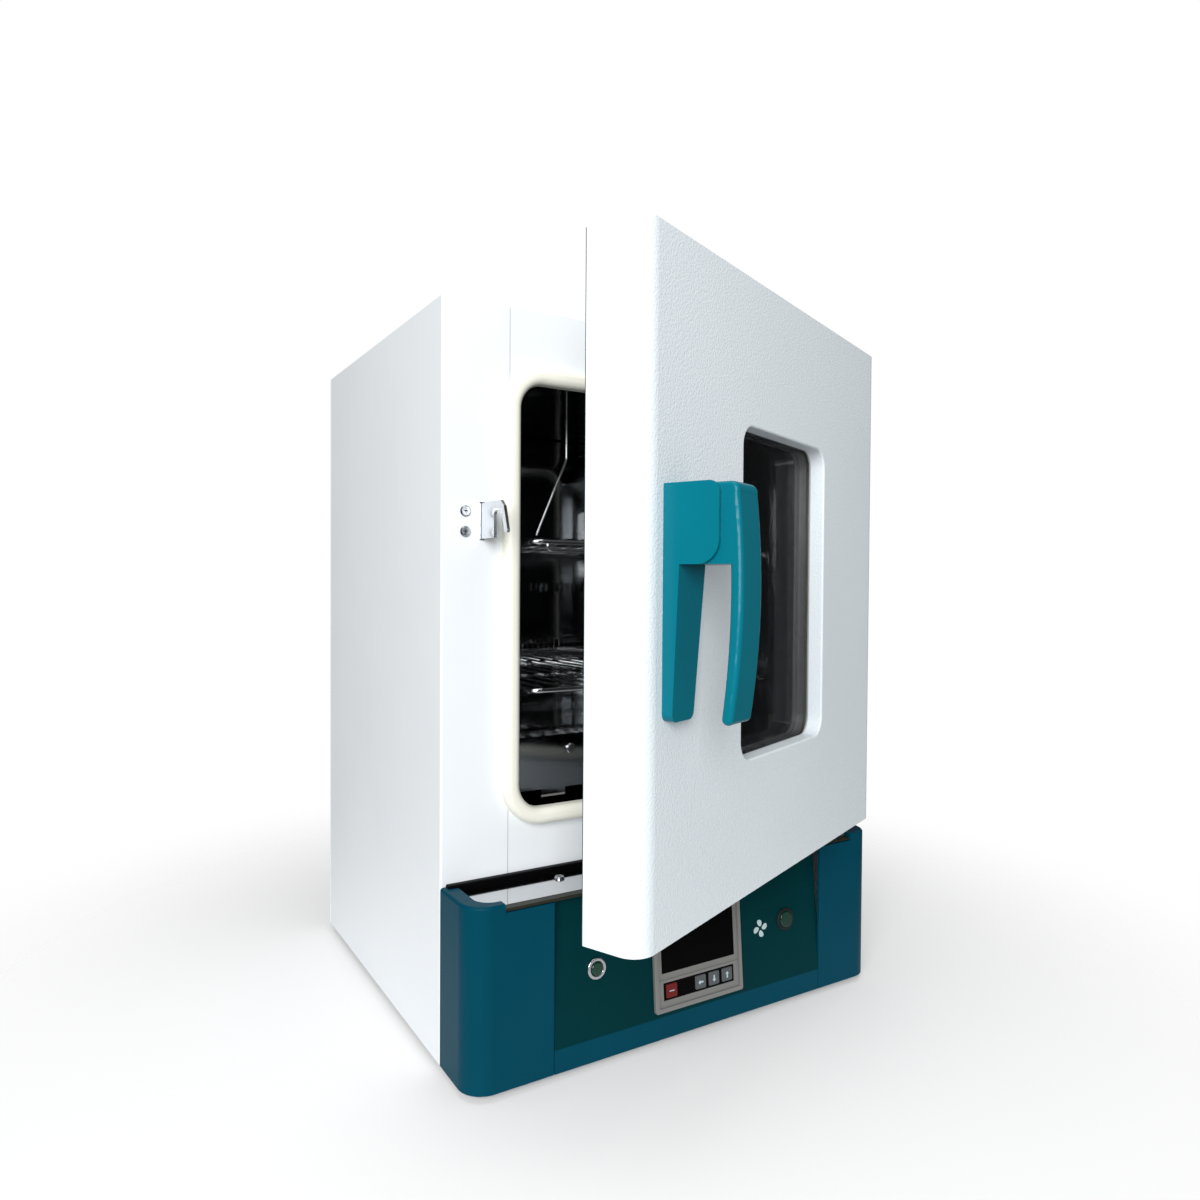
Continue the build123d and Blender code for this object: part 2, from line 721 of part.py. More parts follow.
def wire_shelf(z, lower_bar):
    side = shelf_half - shelf_rod
    near = shelf_front + shelf_rod
    far = shelf_front + shelf_length - shelf_rod
    middle = (near + far) / 2
    drop = z - front_bar_drop
    wire_z = z + shelf_rod + 0.6 * shelf_wire
    with BuildPart() as shelf:
        for hand in (-1, 1):
            with BuildLine():
                FilletPolyline(
                    (0, near, z), (hand * side, near, z), (hand * side, far, z), (0, far, z), radius=shelf_corner
                )
            with BuildSketch(Plane.YZ):
                with Locations((near, z)):
                    Circle(shelf_rod)
            sweep()
        if lower_bar:
            bar_end = side - shelf_corner - 6.0
            with BuildLine():
                FilletPolyline(
                    (-bar_end, near, z), (-bar_end, near, drop), (bar_end, near, drop), (bar_end, near, z), radius=5.0
                )
            with BuildSketch(Plane.XY.offset(z)):
                with Locations((-bar_end, near)):
                    Circle(shelf_brace)
            sweep()
        with BuildSketch(Plane.YZ.offset(-side)):
            with Locations((middle, z)):
                Circle(shelf_brace)
        extrude(amount=2 * side)
        with BuildSketch(front_plane(near - wire_reach)):
            with Locations((0, wire_z)):
                with GridLocations(shelf_pitch, 1, wire_count, 1):
                    Circle(shelf_wire)
        extrude(amount=-(far - near + 2 * wire_reach))
    return shelf.part


for shelf_name, shelf_z in zip(("shelf_lower", "shelf_upper"), shelf_zs):
    save(wire_shelf(shelf_z, shelf_z == shelf_zs[-1]), shelf_name)

# Base tray with turned-up edges, inside the side panels and the pillars
tray_half = half_width - pillar_wall - seat_gap
tray_front = nose_y + fascia_wall + seat_gap
tray_corner = pillar_radius - pillar_wall
tray_wall = 22.0
with BuildPart() as base_tray:
    with BuildSketch(Plane.XY.offset(floor_z)):
        with BuildLine():
            Polyline(
                (-tray_half, tray_front),
                (tray_half, tray_front),
                (tray_half, deck_rear),
                (-tray_half, deck_rear),
                close=True,
            )
        make_face()
        fillet(vertices().group_by(Axis.Y)[0], tray_corner)
    extrude(amount=tray_wall)
    tray_top = base_tray.faces().sort_by(Axis.Z).last
    offset(amount=-sheet, openings=tray_top)
base_tray.part.label = "base_tray"
export_step(base_tray.part, "parts/base_tray.step")

# Pillars: hollow mouldings with a round outer corner, a raised rim and a step for the ledge
rim_z = ledge_z + pillar_rim_rise
pillar_top_wall = 7.0


def pillar(hand):
    outer = hand * half_width
    inner = hand * (half_width - pillar_width)
    rear = front_y - seat_gap
    with BuildPart() as post:
        with BuildSketch(Plane.XY.offset(floor_z)):
            with BuildLine():
                Polyline((outer, nose_y), (outer, rear), (inner, rear), (inner, nose_y), close=True)
            make_face()
            corner = [v for v in vertices() if abs(v.X - outer) < 0.01 and abs(v.Y - nose_y) < 0.01]
            fillet(corner, pillar_radius)
        extrude(amount=rim_z - floor_z)
        top_edges = post.faces().sort_by(Axis.Z).last.edges()
        outside = [e for e in top_edges if abs(e.center().X - inner) > 1 and abs(e.center().Y - rear) > 1]
        fillet(outside, pillar_edge)
        with BuildSketch(Plane.XY.offset(floor_z - 1)):
            with BuildLine():
                Polyline(
                    (outer - hand * pillar_wall, nose_y + pillar_wall),
                    (outer - hand * pillar_wall, front_y + 1),
                    (inner - hand, front_y + 1),
                    (inner - hand, nose_y + pillar_wall),
                    close=True,
                )
            make_face()
            hollow = [v for v in vertices() if abs(v.X - outer) < pillar_wall + 1 and v.Y < nose_y + pillar_wall + 1]
            fillet(hollow, pillar_radius - pillar_wall)
        extrude(amount=ledge_z - pillar_top_wall - floor_z + 1, mode=Mode.SUBTRACT)
        with BuildSketch(Plane.XY.offset(ledge_z - ledge_sheet - seat_gap)):
            with BuildLine():
                Polyline(
                    (outer - hand * pillar_rim_width, nose_y + pillar_rim_front),
                    (outer - hand * pillar_rim_width, front_y + 1),
                    (inner - hand, front_y + 1),
                    (inner - hand, nose_y + pillar_rim_front),
                    close=True,
                )
            make_face()
            recess = [v for v in vertices() if abs(v.X - outer) < pillar_rim_width + 1 and v.Y < front_y]
            fillet(recess, pillar_rim_corner)
        extrude(amount=rim_z + 1 - ledge_z + ledge_sheet + seat_gap, mode=Mode.SUBTRACT)
        slab(
            sorted((outer - hand * notch_start, inner - hand)),
            (nose_y - 1, nose_y + pillar_rim_front + 1),
            (ledge_z - notch_drop, rim_z + 1),
            mode=Mode.SUBTRACT,
        )
    return post.part


save(pillar(-1), "pillar_left")
save(pillar(1), "pillar_right")

# Fascia between the pillars: an upright lip, the leaning panel and a return under the ledge
fascia_half = half_width - pillar_width - pillar_gap
fascia_top = ledge_z - panel_top_drop
panel_length = (panel_setback**2 + (fascia_top - lip_z) ** 2) ** 0.5
controller_rise = bezel_rise + bezel_size / 2
controller_hole = bezel_size - 2 * bezel_rim
buttons = {
    "power": {"x": -button_offset, "ring": 11.0, "cap": 7.0},
    "fan": {"x": button_offset, "ring": 12.5, "cap": 9.3},
}
barrel_wall = 1.5
cap_gap = 0.3
with BuildPart() as fascia:
    with BuildSketch(side_plane(-fascia_half)):
        with BuildLine():
            Polyline(
                (nose_y, floor_z),
                (nose_y, lip_z),
                (nose_y + panel_setback, fascia_top),
                (nose_y + panel_setback + 14, fascia_top),
                (nose_y + panel_setback + 14, fascia_top - fascia_wall),
                (nose_y + panel_setback + fascia_wall, fascia_top - fascia_wall),
                (nose_y + fascia_wall, lip_z),
                (nose_y + fascia_wall, floor_z),
                close=True,
            )
        make_face()
    extrude(amount=2 * fascia_half)
    with BuildSketch(fascia_plane.offset(2)):
        with Locations((0, controller_rise)):
            Rectangle(controller_hole, controller_hole)
        for button in buttons.values():
            with Locations((button["x"], button_rise)):
                Circle(button["cap"] + cap_gap + barrel_wall + cap_gap)
    extrude(amount=-10, mode=Mode.SUBTRACT)
fascia.part.label = "fascia"
export_step(fascia.part, "parts/fascia.step")

# Overlay film on the leaning panel
with BuildPart() as panel_film:
    with BuildSketch(fascia_plane):
        with Locations((0, panel_length / 2)):
            Rectangle(2 * fascia_half, panel_length - 2)
        with Locations((0, controller_rise)):
            Rectangle(controller_hole, controller_hole, mode=Mode.SUBTRACT)
        for button in buttons.values():
            with Locations((button["x"], button_rise)):
                Circle(button["cap"] + cap_gap + barrel_wall + cap_gap, mode=Mode.SUBTRACT)
    extrude(amount=film_thickness)
panel_film.part.label = "panel_film"
export_step(panel_film.part, "parts/panel_film.step")

# Polished ledge, its screws are with the others below
ledge_side = half_width - pillar_rim_width - seat_gap
ledge_nose = front_y - ledge_front
ledge_middle = half_width - notch_start - seat_gap
ledge_screws = [(hand * 149.0, front_y - 23.0) for hand in (-1, 1)]
with BuildPart() as ledge_plate:
    with BuildSketch(Plane.XY.offset(ledge_z - ledge_sheet)):
        with Locations((0, (ledge_nose + front_y - seat_gap) / 2)):
            Rectangle(2 * ledge_side, front_y - seat_gap - ledge_nose)
        fillet(vertices().group_by(Axis.Y)[0], pillar_rim_corner - seat_gap)
    extrude(amount=ledge_sheet)
    slab((-fascia_half, fascia_half), (ledge_nose, ledge_nose + ledge_sheet), (fascia_top + seat_gap, ledge_z))
    with BuildSketch(Plane.XY.offset(ledge_z - ledge_sheet - 1)):
        with Locations(*ledge_screws):
            Circle(screw_radius + 0.3)
    extrude(amount=ledge_sheet + 2, mode=Mode.SUBTRACT)
ledge_plate.part.label = "ledge_plate"
export_step(ledge_plate.part, "parts/ledge_plate.step")

# Rubber strip in the corner between the ledge and the front panel
strip_half = half_width - strip_inset
with BuildPart() as ledge_strip:
    with BuildSketch(side_plane(-strip_half)):
        with Locations((front_y - seat_gap - strip_depth / 2, ledge_z + 0.1 + strip_height / 2)):
            Rectangle(strip_depth, strip_height)
        fillet(vertices().group_by(Axis.Y)[-1].sort_by(Axis.X).first, strip_round)
    extrude(amount=2 * strip_half)
    for hand in (-1, 1):
        slab(sorted((hand * (ledge_side - 1), hand * half_width)), (nose_y, front_y), (ledge_z - 1, rim_z + seat_gap),
            mode=Mode.SUBTRACT)
    ends = [e for e in ledge_strip.edges().filter_by(Axis.Y) if abs(abs(e.center().X) - strip_half) < 0.01]
    high_ends = [e for e in ends if e.center().Z > rim_z + 1]
    fillet(high_ends, 1.8)
ledge_strip.part.label = "ledge_strip"
export_step(ledge_strip.part, "parts/ledge_strip.step")

# Dark trim bar in the notches of the pillars, in front of the ledge
with BuildPart() as trim_bar:
    slab((-ledge_middle, ledge_middle), (nose_y + 1.2, ledge_nose - seat_gap),
        (ledge_z - notch_drop + seat_gap, ledge_z - 0.2))
    fillet(trim_bar.edges().filter_by(Axis.X).group_by(Axis.Y)[0], 1.2)
trim_bar.part.label = "trim_bar"
export_step(trim_bar.part, "parts/trim_bar.step")

# Controller: a bezel with a recessed face, the display pane, the key strip and the body behind
face_recess = 2.2
face_low = 5.0
strip_low = bezel_rim + 6.5
key_strip_height = 19.0
key_strip_half = 48.8
groove_low = strip_low + key_strip_height + 3.0
groove_height = 2.6
display_low = groove_low + groove_height + 4.4
display_high = bezel_size - bezel_rim - 5.0
display_half = bezel_size / 2 - bezel_rim - 5.0
pane_gap = 0.25
on_film = film_thickness + 0.1
face_level = bezel_proud - face_recess
strip_mid = bezel_rise + strip_low + key_strip_height / 2
display_mid = bezel_rise + (display_low + display_high) / 2
with BuildPart() as controller_bezel:
    with BuildSketch(fascia_plane.offset(on_film)):
        with Locations((0, controller_rise)):
            RectangleRounded(bezel_size, bezel_size, 3)
    extrude(amount=bezel_proud - on_film)
    fillet(controller_bezel.faces().sort_by(Axis((0, 0, 0), fascia_plane.z_dir)).last.edges(), 1.2)
    with BuildSketch(fascia_plane.offset(face_level)):
        with Locations((0, controller_rise)):
            Rectangle(controller_hole, controller_hole)
    extrude(amount=face_recess + 1, mode=Mode.SUBTRACT)
    with BuildSketch(fascia_plane):
        with Locations((0, display_mid)):
            Rectangle(2 * display_half, display_high - display_low)
        with Locations((0, strip_mid)):
            Rectangle(2 * key_strip_half, key_strip_height)
    extrude(amount=bezel_proud, mode=Mode.SUBTRACT)
    with BuildSketch(fascia_plane.offset(face_level - 0.8)):
        with Locations((0, bezel_rise + groove_low + groove_height / 2)):
            Rectangle(controller_hole - 1, groove_height)
    extrude(amount=2, mode=Mode.SUBTRACT)
controller_bezel.part.label = "controller_bezel"
export_step(controller_bezel.part, "parts/controller_bezel.step")

with BuildPart() as display_window:
    with BuildSketch(fascia_plane.offset(on_film)):
        with Locations((0, display_mid)):
            Rectangle(2 * (display_half - pane_gap), display_high - display_low - 2 * pane_gap)
    extrude(amount=face_level - on_film - 0.3)
display_window.part.label = "display_window"
export_step(display_window.part, "parts/display_window.step")

with BuildPart() as key_strip:
    with BuildSketch(fascia_plane.offset(on_film)):
        with Locations((0, strip_mid)):
            Rectangle(2 * (key_strip_half - pane_gap), key_strip_height - 2 * pane_gap)
            for key_x in key_places:
                with Locations((key_x, 0)):
                    Rectangle(key_size + 2 * cap_gap, key_size + 2 * cap_gap, mode=Mode.SUBTRACT)
    extrude(amount=face_level - on_film - 0.6)
key_strip.part.label = "key_strip"
export_step(key_strip.part, "parts/key_strip.step")

key_back = -1.4
controller_front = key_back - key_travel - 0.4
for key_name, key_x in zip(key_names, key_places):
    with BuildPart() as key:
        with BuildSketch(fascia_plane.offset(key_back)):
            with Locations((key_x, strip_mid)):
                RectangleRounded(key_size, key_size, 1.5)
        extrude(amount=face_level + 0.4 - key_back)
        fillet(key.faces().sort_by(Axis((0, 0, 0), fascia_plane.z_dir)).last.edges(), 0.5)
    save(key.part, key_name)

controller_depth = 58.0
with BuildPart() as controller_body:
    with BuildSketch(fascia_plane.offset(controller_front)):
        with Locations((0, controller_rise)):
            Rectangle(controller_hole - 0.6, controller_hole - 0.6)
    extrude(amount=-controller_depth)
    with BuildSketch(fascia_plane.offset(controller_front - controller_depth)):
        with Locations((0, controller_rise)):
            with GridLocations(1, 60, 1, 2):
                Rectangle(80, 10)
    extrude(amount=-6)
controller_body.part.label = "controller_body"
export_step(controller_body.part, "parts/controller_body.step")

# Push buttons: a barrel with a collar on the panel, and a domed cap that slides in it
collar_proud = 3.2
cap_proud = 4.6
cap_length = 12.0
barrel_length = cap_length + button_travel + 4.0


def button_ring(button):
    bore = button["cap"] + cap_gap
    with BuildPart() as ring:
        with BuildSketch(fascia_plane.offset(on_film)):
            with Locations((button["x"], button_rise)):
                Circle(button["ring"])
                Circle(bore, mode=Mode.SUBTRACT)
        extrude(amount=collar_proud - on_film)
        collar_top = ring.faces().sort_by(Axis((0, 0, 0), fascia_plane.z_dir)).last
        fillet(collar_top.edges(), 1.0)
        with BuildSketch(fascia_plane.offset(on_film)):
            with Locations((button["x"], button_rise)):
                Circle(bore + barrel_wall)
                Circle(bore, mode=Mode.SUBTRACT)
        extrude(amount=-barrel_length)
        with BuildSketch(fascia_plane.offset(on_film - barrel_length)):
            with Locations((button["x"], button_rise)):
                Circle(bore + barrel_wall)
        extrude(amount=-2)
    return ring.part


def button_cap(button):
    with BuildPart() as cap:
        with BuildSketch(fascia_plane.offset(cap_proud - cap_length)):
            with Locations((button["x"], button_rise)):
                Circle(button["cap"])
        extrude(amount=cap_length)
        fillet(cap.faces().sort_by(Axis((0, 0, 0), fascia_plane.z_dir)).last.edges(), 1.4)
    return cap.part


for button_name, button in buttons.items():
    save(button_ring(button), f"{button_name}_ring")
    save(button_cap(button), f"{button_name}_button")

# Electrics on the tray: a relay on its finned heat sink
tray_floor = floor_z + sheet
heat_sink_size = (90.0, 70.0, 42.0)
relay_place = (110.0, 60.0)
fin_count = 9
with BuildPart() as relay:
    with BuildSketch(Plane.XY.offset(tray_floor)):
        with Locations(relay_place):
            Rectangle(heat_sink_size[0], heat_sink_size[1])
    extrude(amount=6)
    with BuildSketch(Plane.XY.offset(tray_floor)):
        with Locations(relay_place):
            with GridLocations((heat_sink_size[0] - 3) / (fin_count - 1), 1, fin_count, 1):
                Rectangle(3, heat_sink_size[1])
    extrude(amount=heat_sink_size[2])
    with BuildSketch(Plane.XY.offset(tray_floor + heat_sink_size[2])):
        with Locations(relay_place):
            Rectangle(heat_sink_size[0], heat_sink_size[1])
    extrude(amount=3)
    with BuildSketch(Plane.XY.offset(tray_floor + heat_sink_size[2] + 3)):
        with Locations(relay_place):
            RectangleRounded(60, 45, 4)
    extrude(amount=23)
relay.part.label = "relay"
export_step(relay.part, "parts/relay.step")

# Mains inlet in the back panel: a flanged socket with three blades
inlet_flange = (50.0, 26.0)
inlet_recess = (24.0, 16.6, 15.0)
blade_reach = 8.0
inlet_rear = back_y + 2.5
with BuildPart() as power_inlet:
    with BuildSketch(front_plane(back_y)):
        with Locations((inlet_x, inlet_z)):
            RectangleRounded(*inlet_flange, 6)
    extrude(amount=-(inlet_rear - back_y))
    with BuildSketch(front_plane(back_y - 22)):
        with Locations((inlet_x, inlet_z)):
            Rectangle(inlet_width - 2 * pane_gap, inlet_height - 2 * pane_gap)
    extrude(amount=-22)
    with BuildSketch(front_plane(inlet_rear - inlet_recess[2])):
        with Locations((inlet_x, inlet_z)):
            RectangleRounded(inlet_recess[0], inlet_recess[1], 2)
    extrude(amount=-(inlet_recess[2] + 1), mode=Mode.SUBTRACT)
    with BuildSketch(front_plane(inlet_rear - inlet_recess[2])):
        with Locations((inlet_x, inlet_z + 2), (inlet_x - 7, inlet_z - 2), (inlet_x + 7, inlet_z - 2)):
            Rectangle(2, 4)
    extrude(amount=-blade_reach)
power_inlet.part.label = "power_inlet"
export_step(power_inlet.part, "parts/power_inlet.step")

# Four rubber feet
foot_radius = 16.0
foot_x = half_width - 62.0
foot_ys = (nose_y + 48.0, back_y - 48.0)
with BuildPart() as feet:
    with BuildSketch(Plane.XY):
        with Locations(*[(hand * foot_x, y) for hand in (-1, 1) for y in foot_ys]):
            Circle(foot_radius)
    extrude(amount=foot_height, taper=-8)
feet.part.label = "feet"
export_step(feet.part, "parts/feet.step")

# Keeper: a flange screwed behind the side panel's front, and the hook that stands out through its slot
hook_root = front_y + sheet + seat_gap
hook_top = keeper_low + hook_height
hook_body_y = front_y - 32.6
flange_left = keeper_screws[0][0] - 9.0
hook_arch = 4.8
with BuildPart() as keeper:
    with BuildSketch(side_plane(keeper_x)):
        with BuildLine():
            Polyline(
                (hook_root + hook_sheet, keeper_low),
                (hook_body_y, keeper_low),
                (hook_body_y, hook_top - 9.5),
                (front_y - 49.5, hook_top - 9.5),
                (front_y - 57.0, keeper_low + 4.5),
                (front_y - 65.0, keeper_low + 3.0),
                (front_y - 55.5, hook_top - 6.0),
                (front_y - 48.0, hook_top),
                (hook_root + hook_sheet, hook_top),
                close=True,
            )
        make_face()
        arch = [v for v in vertices() if abs(v.Y - hook_top + 9.5) < 0.01]
        fillet(arch, hook_arch)
        tip = [v for v in vertices() if v.X < front_y - 56 and v.Y < keeper_low + 6]
        fillet(tip, 2.5)
    extrude(amount=hook_sheet)
    slab((flange_left, keeper_x + hook_sheet), (hook_root, hook_root + hook_sheet), (keeper_low - 1, hook_top + 1))
    with BuildSketch(front_plane(hook_root - 1)):
        with Locations(*keeper_screws):
            Circle(screw_radius + 0.3)
    extrude(amount=-(hook_sheet + 2), mode=Mode.SUBTRACT)
keeper.part.label = "keeper"
export_step(keeper.part, "parts/keeper.step")

# Hinge brackets: a plate on the side panel's front and a tongue bored for the hinge pin
hinge_plate = 3.0
hinge_plate_face = front_y - seat_gap - hinge_plate
with BuildPart() as hinge_brackets:
    for z in hinge_zs:
        with BuildSketch(front_plane(front_y - seat_gap)):
            with Locations((hinge_x, z)):
                RectangleRounded(hinge_plate_width, hinge_plate_height, 4)
        extrude(amount=hinge_plate)
        with BuildSketch(Plane.XY.offset(z - tongue_thickness / 2)):
            with Locations((hinge_x, hinge_y)):
                Circle(tongue_half_width)
            with Locations((hinge_x, (hinge_y + front_y - 2) / 2)):
                Rectangle(2 * tongue_half_width, front_y - 2 - hinge_y)
            with Locations((hinge_x, hinge_y)):
                Circle(hinge_pin_radius + hinge_clearance, mode=Mode.SUBTRACT)
        extrude(amount=tongue_thickness)
    with BuildSketch(front_plane(front_y + 1)):
        with Locations(*hinge_screws):
            Circle(screw_radius + 0.3)
    extrude(amount=6, mode=Mode.SUBTRACT)
    with BuildSketch(front_plane(hinge_plate_face + low_head_height + 0.1)):
        with Locations(*hinge_screws):
            Circle(low_head + 0.2)
    extrude(amount=6, mode=Mode.SUBTRACT)
hinge_brackets.part.label = "hinge_brackets"
export_step(hinge_brackets.part, "parts/hinge_brackets.step")

# Door pieces are modelled with the door shut and swung out together at the end
door_pieces = {}
handle_pieces = {}
door_half = door_width / 2
skin_low = door_low + door_sheet
skin_high = top_z - door_sheet
skin_half = door_half - door_sheet
inner_sheet = 1.2
pane_half_width = window_width / 2 + glass_lap
pane_half_height = window_height / 2 + glass_lap
pane_radius = window_radius + glass_lap
outer_glass_y = door_front + reveal_depth + seal_thickness
spacer_y = outer_glass_y + glass_thickness
inner_glass_y = spacer_y + spacer_depth
inner_seat = inner_glass_y + glass_thickness + seal_thickness
handle_x = -door_half + handle_inset
handle_far = handle_x + handle_width
block_low = door_low + block_rise
block_high = block_low + block_height
pivot_y = door_front - pivot_reach
pivot_z = door_low + pivot_rise
latch_y = door_front + latch_depth
latch_z = pivot_z - latch_drop
tail_x = keeper_x + hook_sheet + 3.0
tail_slot = ((tail_x - 2.5, tail_x + tail_thickness + 2.5), (block_low + 3.0, block_high - 14.0))
notch_half = tongue_thickness / 2 + 1.5
leaf_half = 18.0
leaf_left = 14.0
leaf_front = 11.0
sweep_front = hinge_y - 19.0

# Door skin: a deep tray with round upright edges and a window reveal turned inward
with BuildPart() as door_skin:
    with BuildSketch(Plane.XY.offset(door_low)):
        with Locations((0, door_inner - inner_sheet - seat_gap - (door_thickness - inner_sheet - seat_gap) / 2)):
            Rectangle(door_width, door_thickness - inner_sheet - seat_gap)
        fillet(vertices().group_by(Axis.Y)[0], door_radius)
    extrude(amount=door_height)
    with BuildSketch(Plane.XY.offset(skin_low)):
        with Locations((0, door_front + door_sheet + door_thickness / 2)):
            Rectangle(2 * skin_half, door_thickness)
        fillet(vertices().group_by(Axis.Y)[0], door_radius - door_sheet)
    extrude(amount=skin_high - skin_low, mode=Mode.SUBTRACT)
    with BuildSketch(front_plane(door_front)):
        with Locations((0, window_mid)):
            RectangleRounded(window_width + 2 * door_sheet, window_height + 2 * door_sheet, window_radius + door_sheet)
    extrude(amount=-reveal_depth)
    with BuildSketch(front_plane(door_front)):
        with Locations((0, window_mid)):
            RectangleRounded(window_width, window_height, window_radius)
    extrude(amount=-reveal_depth - 1, mode=Mode.SUBTRACT)
    reveal_edges = door_skin.faces().filter_by(Axis.Y).sort_by(Axis.Y).first.inner_wires()[0].edges()
    fillet(reveal_edges, 2.0)
    slab(tail_slot[0], (door_front - 1, door_front + door_sheet + 1), tail_slot[1], mode=Mode.SUBTRACT)
    for z in hinge_zs:
        slab((skin_half - 1, door_half + 1), (sweep_front, door_inner), (z - notch_half, z + notch_half),
            mode=Mode.SUBTRACT)
door_pieces["door_skin"] = door_skin.part

# Door inner panel with the window, the keeper slot and the hinge notches
hook_slot_side = 5.0
with BuildPart() as door_inner_panel:
    with BuildSketch(front_plane(door_inner)):
        with Locations((0, (door_low + top_z) / 2)):
            Rectangle(2 * (door_half - 1), door_height - 2)
        with Locations((0, window_mid)):
            RectangleRounded(window_width, window_height, window_radius, mode=Mode.SUBTRACT)
    extrude(amount=inner_sheet)
    for depth, size in ((door_inner - inner_sheet - inner_seat, inner_sheet), (inner_sheet, glass_lap)):
        with BuildSketch(front_plane(inner_seat + depth)):
            with Locations((0, window_mid)):
                RectangleRounded(window_width + 2 * size, window_height + 2 * size, window_radius + size)
                RectangleRounded(window_width, window_height, window_radius, mode=Mode.SUBTRACT)
        extrude(amount=depth)
    slab((keeper_x - hook_slot_side, keeper_x + hook_sheet + hook_slot_side), (door_inner - 4, door_inner + 1),
        (keeper_low - 9.0, hook_top + 4.0), mode=Mode.SUBTRACT)
    for z in hinge_zs:
        slab((hinge_x - tongue_half_width - 3, door_half + 1), (door_inner - 4, door_inner + 1),
            (z - notch_half, z + notch_half), mode=Mode.SUBTRACT)
door_pieces["door_inner_panel"] = door_inner_panel.part

# Window: two panes, the frame between them, and a seal outside each pane
def window_ring(y, depth, inset):
    """A ring the size of a pane, from depth y inward, as wide as its inset."""
    with BuildPart() as ring:
        with BuildSketch(front_plane(y)):
            with Locations((0, window_mid)):
                RectangleRounded(2 * pane_half_width, 2 * pane_half_height, pane_radius)
                RectangleRounded(2 * (pane_half_width - inset), 2 * (pane_half_height - inset), pane_radius - inset,
                    mode=Mode.SUBTRACT)
        extrude(amount=-depth)
    return ring.part


for pane_name, pane_y in (("outer_glass", outer_glass_y), ("inner_glass", inner_glass_y)):
    with BuildPart() as pane:
        with BuildSketch(front_plane(pane_y)):
            with Locations((0, window_mid)):
                RectangleRounded(2 * pane_half_width, 2 * pane_half_height, pane_radius)
        extrude(amount=-glass_thickness)
    door_pieces[pane_name] = pane.part
door_pieces["window_frame"] = window_ring(spacer_y, spacer_depth, glass_lap - 1.0)
with BuildPart() as window_seals:
    add(window_ring(door_front + reveal_depth, seal_thickness, glass_lap))
    add(window_ring(inner_glass_y + glass_thickness, seal_thickness, glass_lap))
door_pieces["window_seals"] = window_seals.part

# Door insulation with the window tunnel, the latch pocket and the hinge pockets
latch_pocket = (handle_x - 3.0, tail_x + tail_thickness + 6.0)
with BuildPart() as door_insulation:
    with BuildSketch(Plane.XY.offset(skin_low + wool_clear)):
        with Locations((0, (door_front + door_inner) / 2)):
            Rectangle(2 * (skin_half - wool_clear), door_thickness - 2 * (door_sheet + wool_clear))
        fillet(vertices().group_by(Axis.Y)[0], door_radius - door_sheet)
    extrude(amount=skin_high - skin_low - 2 * wool_clear)
    with BuildSketch(front_plane(door_front)):
        with Locations((0, window_mid)):
            RectangleRounded(2 * (pane_half_width + wool_clear), 2 * (pane_half_height + wool_clear),
                pane_radius + wool_clear)
    extrude(amount=-door_thickness, mode=Mode.SUBTRACT)
    slab(latch_pocket, (door_front, door_inner), (latch_z - 42.0, hook_top + 8.0), mode=Mode.SUBTRACT)
    for z in hinge_zs:
        slab((hinge_x - leaf_left - wool_clear, door_half), (sweep_front, door_inner),
            (z - leaf_half - wool_clear, z + leaf_half + wool_clear), mode=Mode.SUBTRACT)
door_pieces["door_insulation"] = door_insulation.part

# Hinge leaves in the door: two ears above and below each tongue, joined beside it
ear_gap = tongue_thickness / 2 + 0.5
leaf_right = skin_half - seat_gap
leaf_rear = door_inner - inner_sheet - 2 * seat_gap
with BuildPart() as hinge_leaves:
    for z in hinge_zs:
        for low, high in ((z - leaf_half, z - ear_gap), (z + ear_gap, z + leaf_half)):
            slab((hinge_x - leaf_left, leaf_right), (hinge_y - leaf_front, leaf_rear), (low, high))
        slab((hinge_x - leaf_left, hinge_x - leaf_left + 3.5), (hinge_y - leaf_front, leaf_rear),
            (z - leaf_half, z + leaf_half))
        with BuildSketch(Plane.XY.offset(z - leaf_half - 1)):
            with Locations((hinge_x, hinge_y)):
                Circle(hinge_pin_radius + 0.02)
        extrude(amount=2 * leaf_half + 2, mode=Mode.SUBTRACT)
door_pieces["hinge_leaves"] = hinge_leaves.part

with BuildPart() as hinge_pins:
    for z in hinge_zs:
        with BuildSketch(Plane.XY.offset(z - leaf_half)):
            with Locations((hinge_x, hinge_y)):
                Circle(hinge_pin_radius)
        extrude(amount=2 * leaf_half)
door_pieces["hinge_pins"] = hinge_pins.part

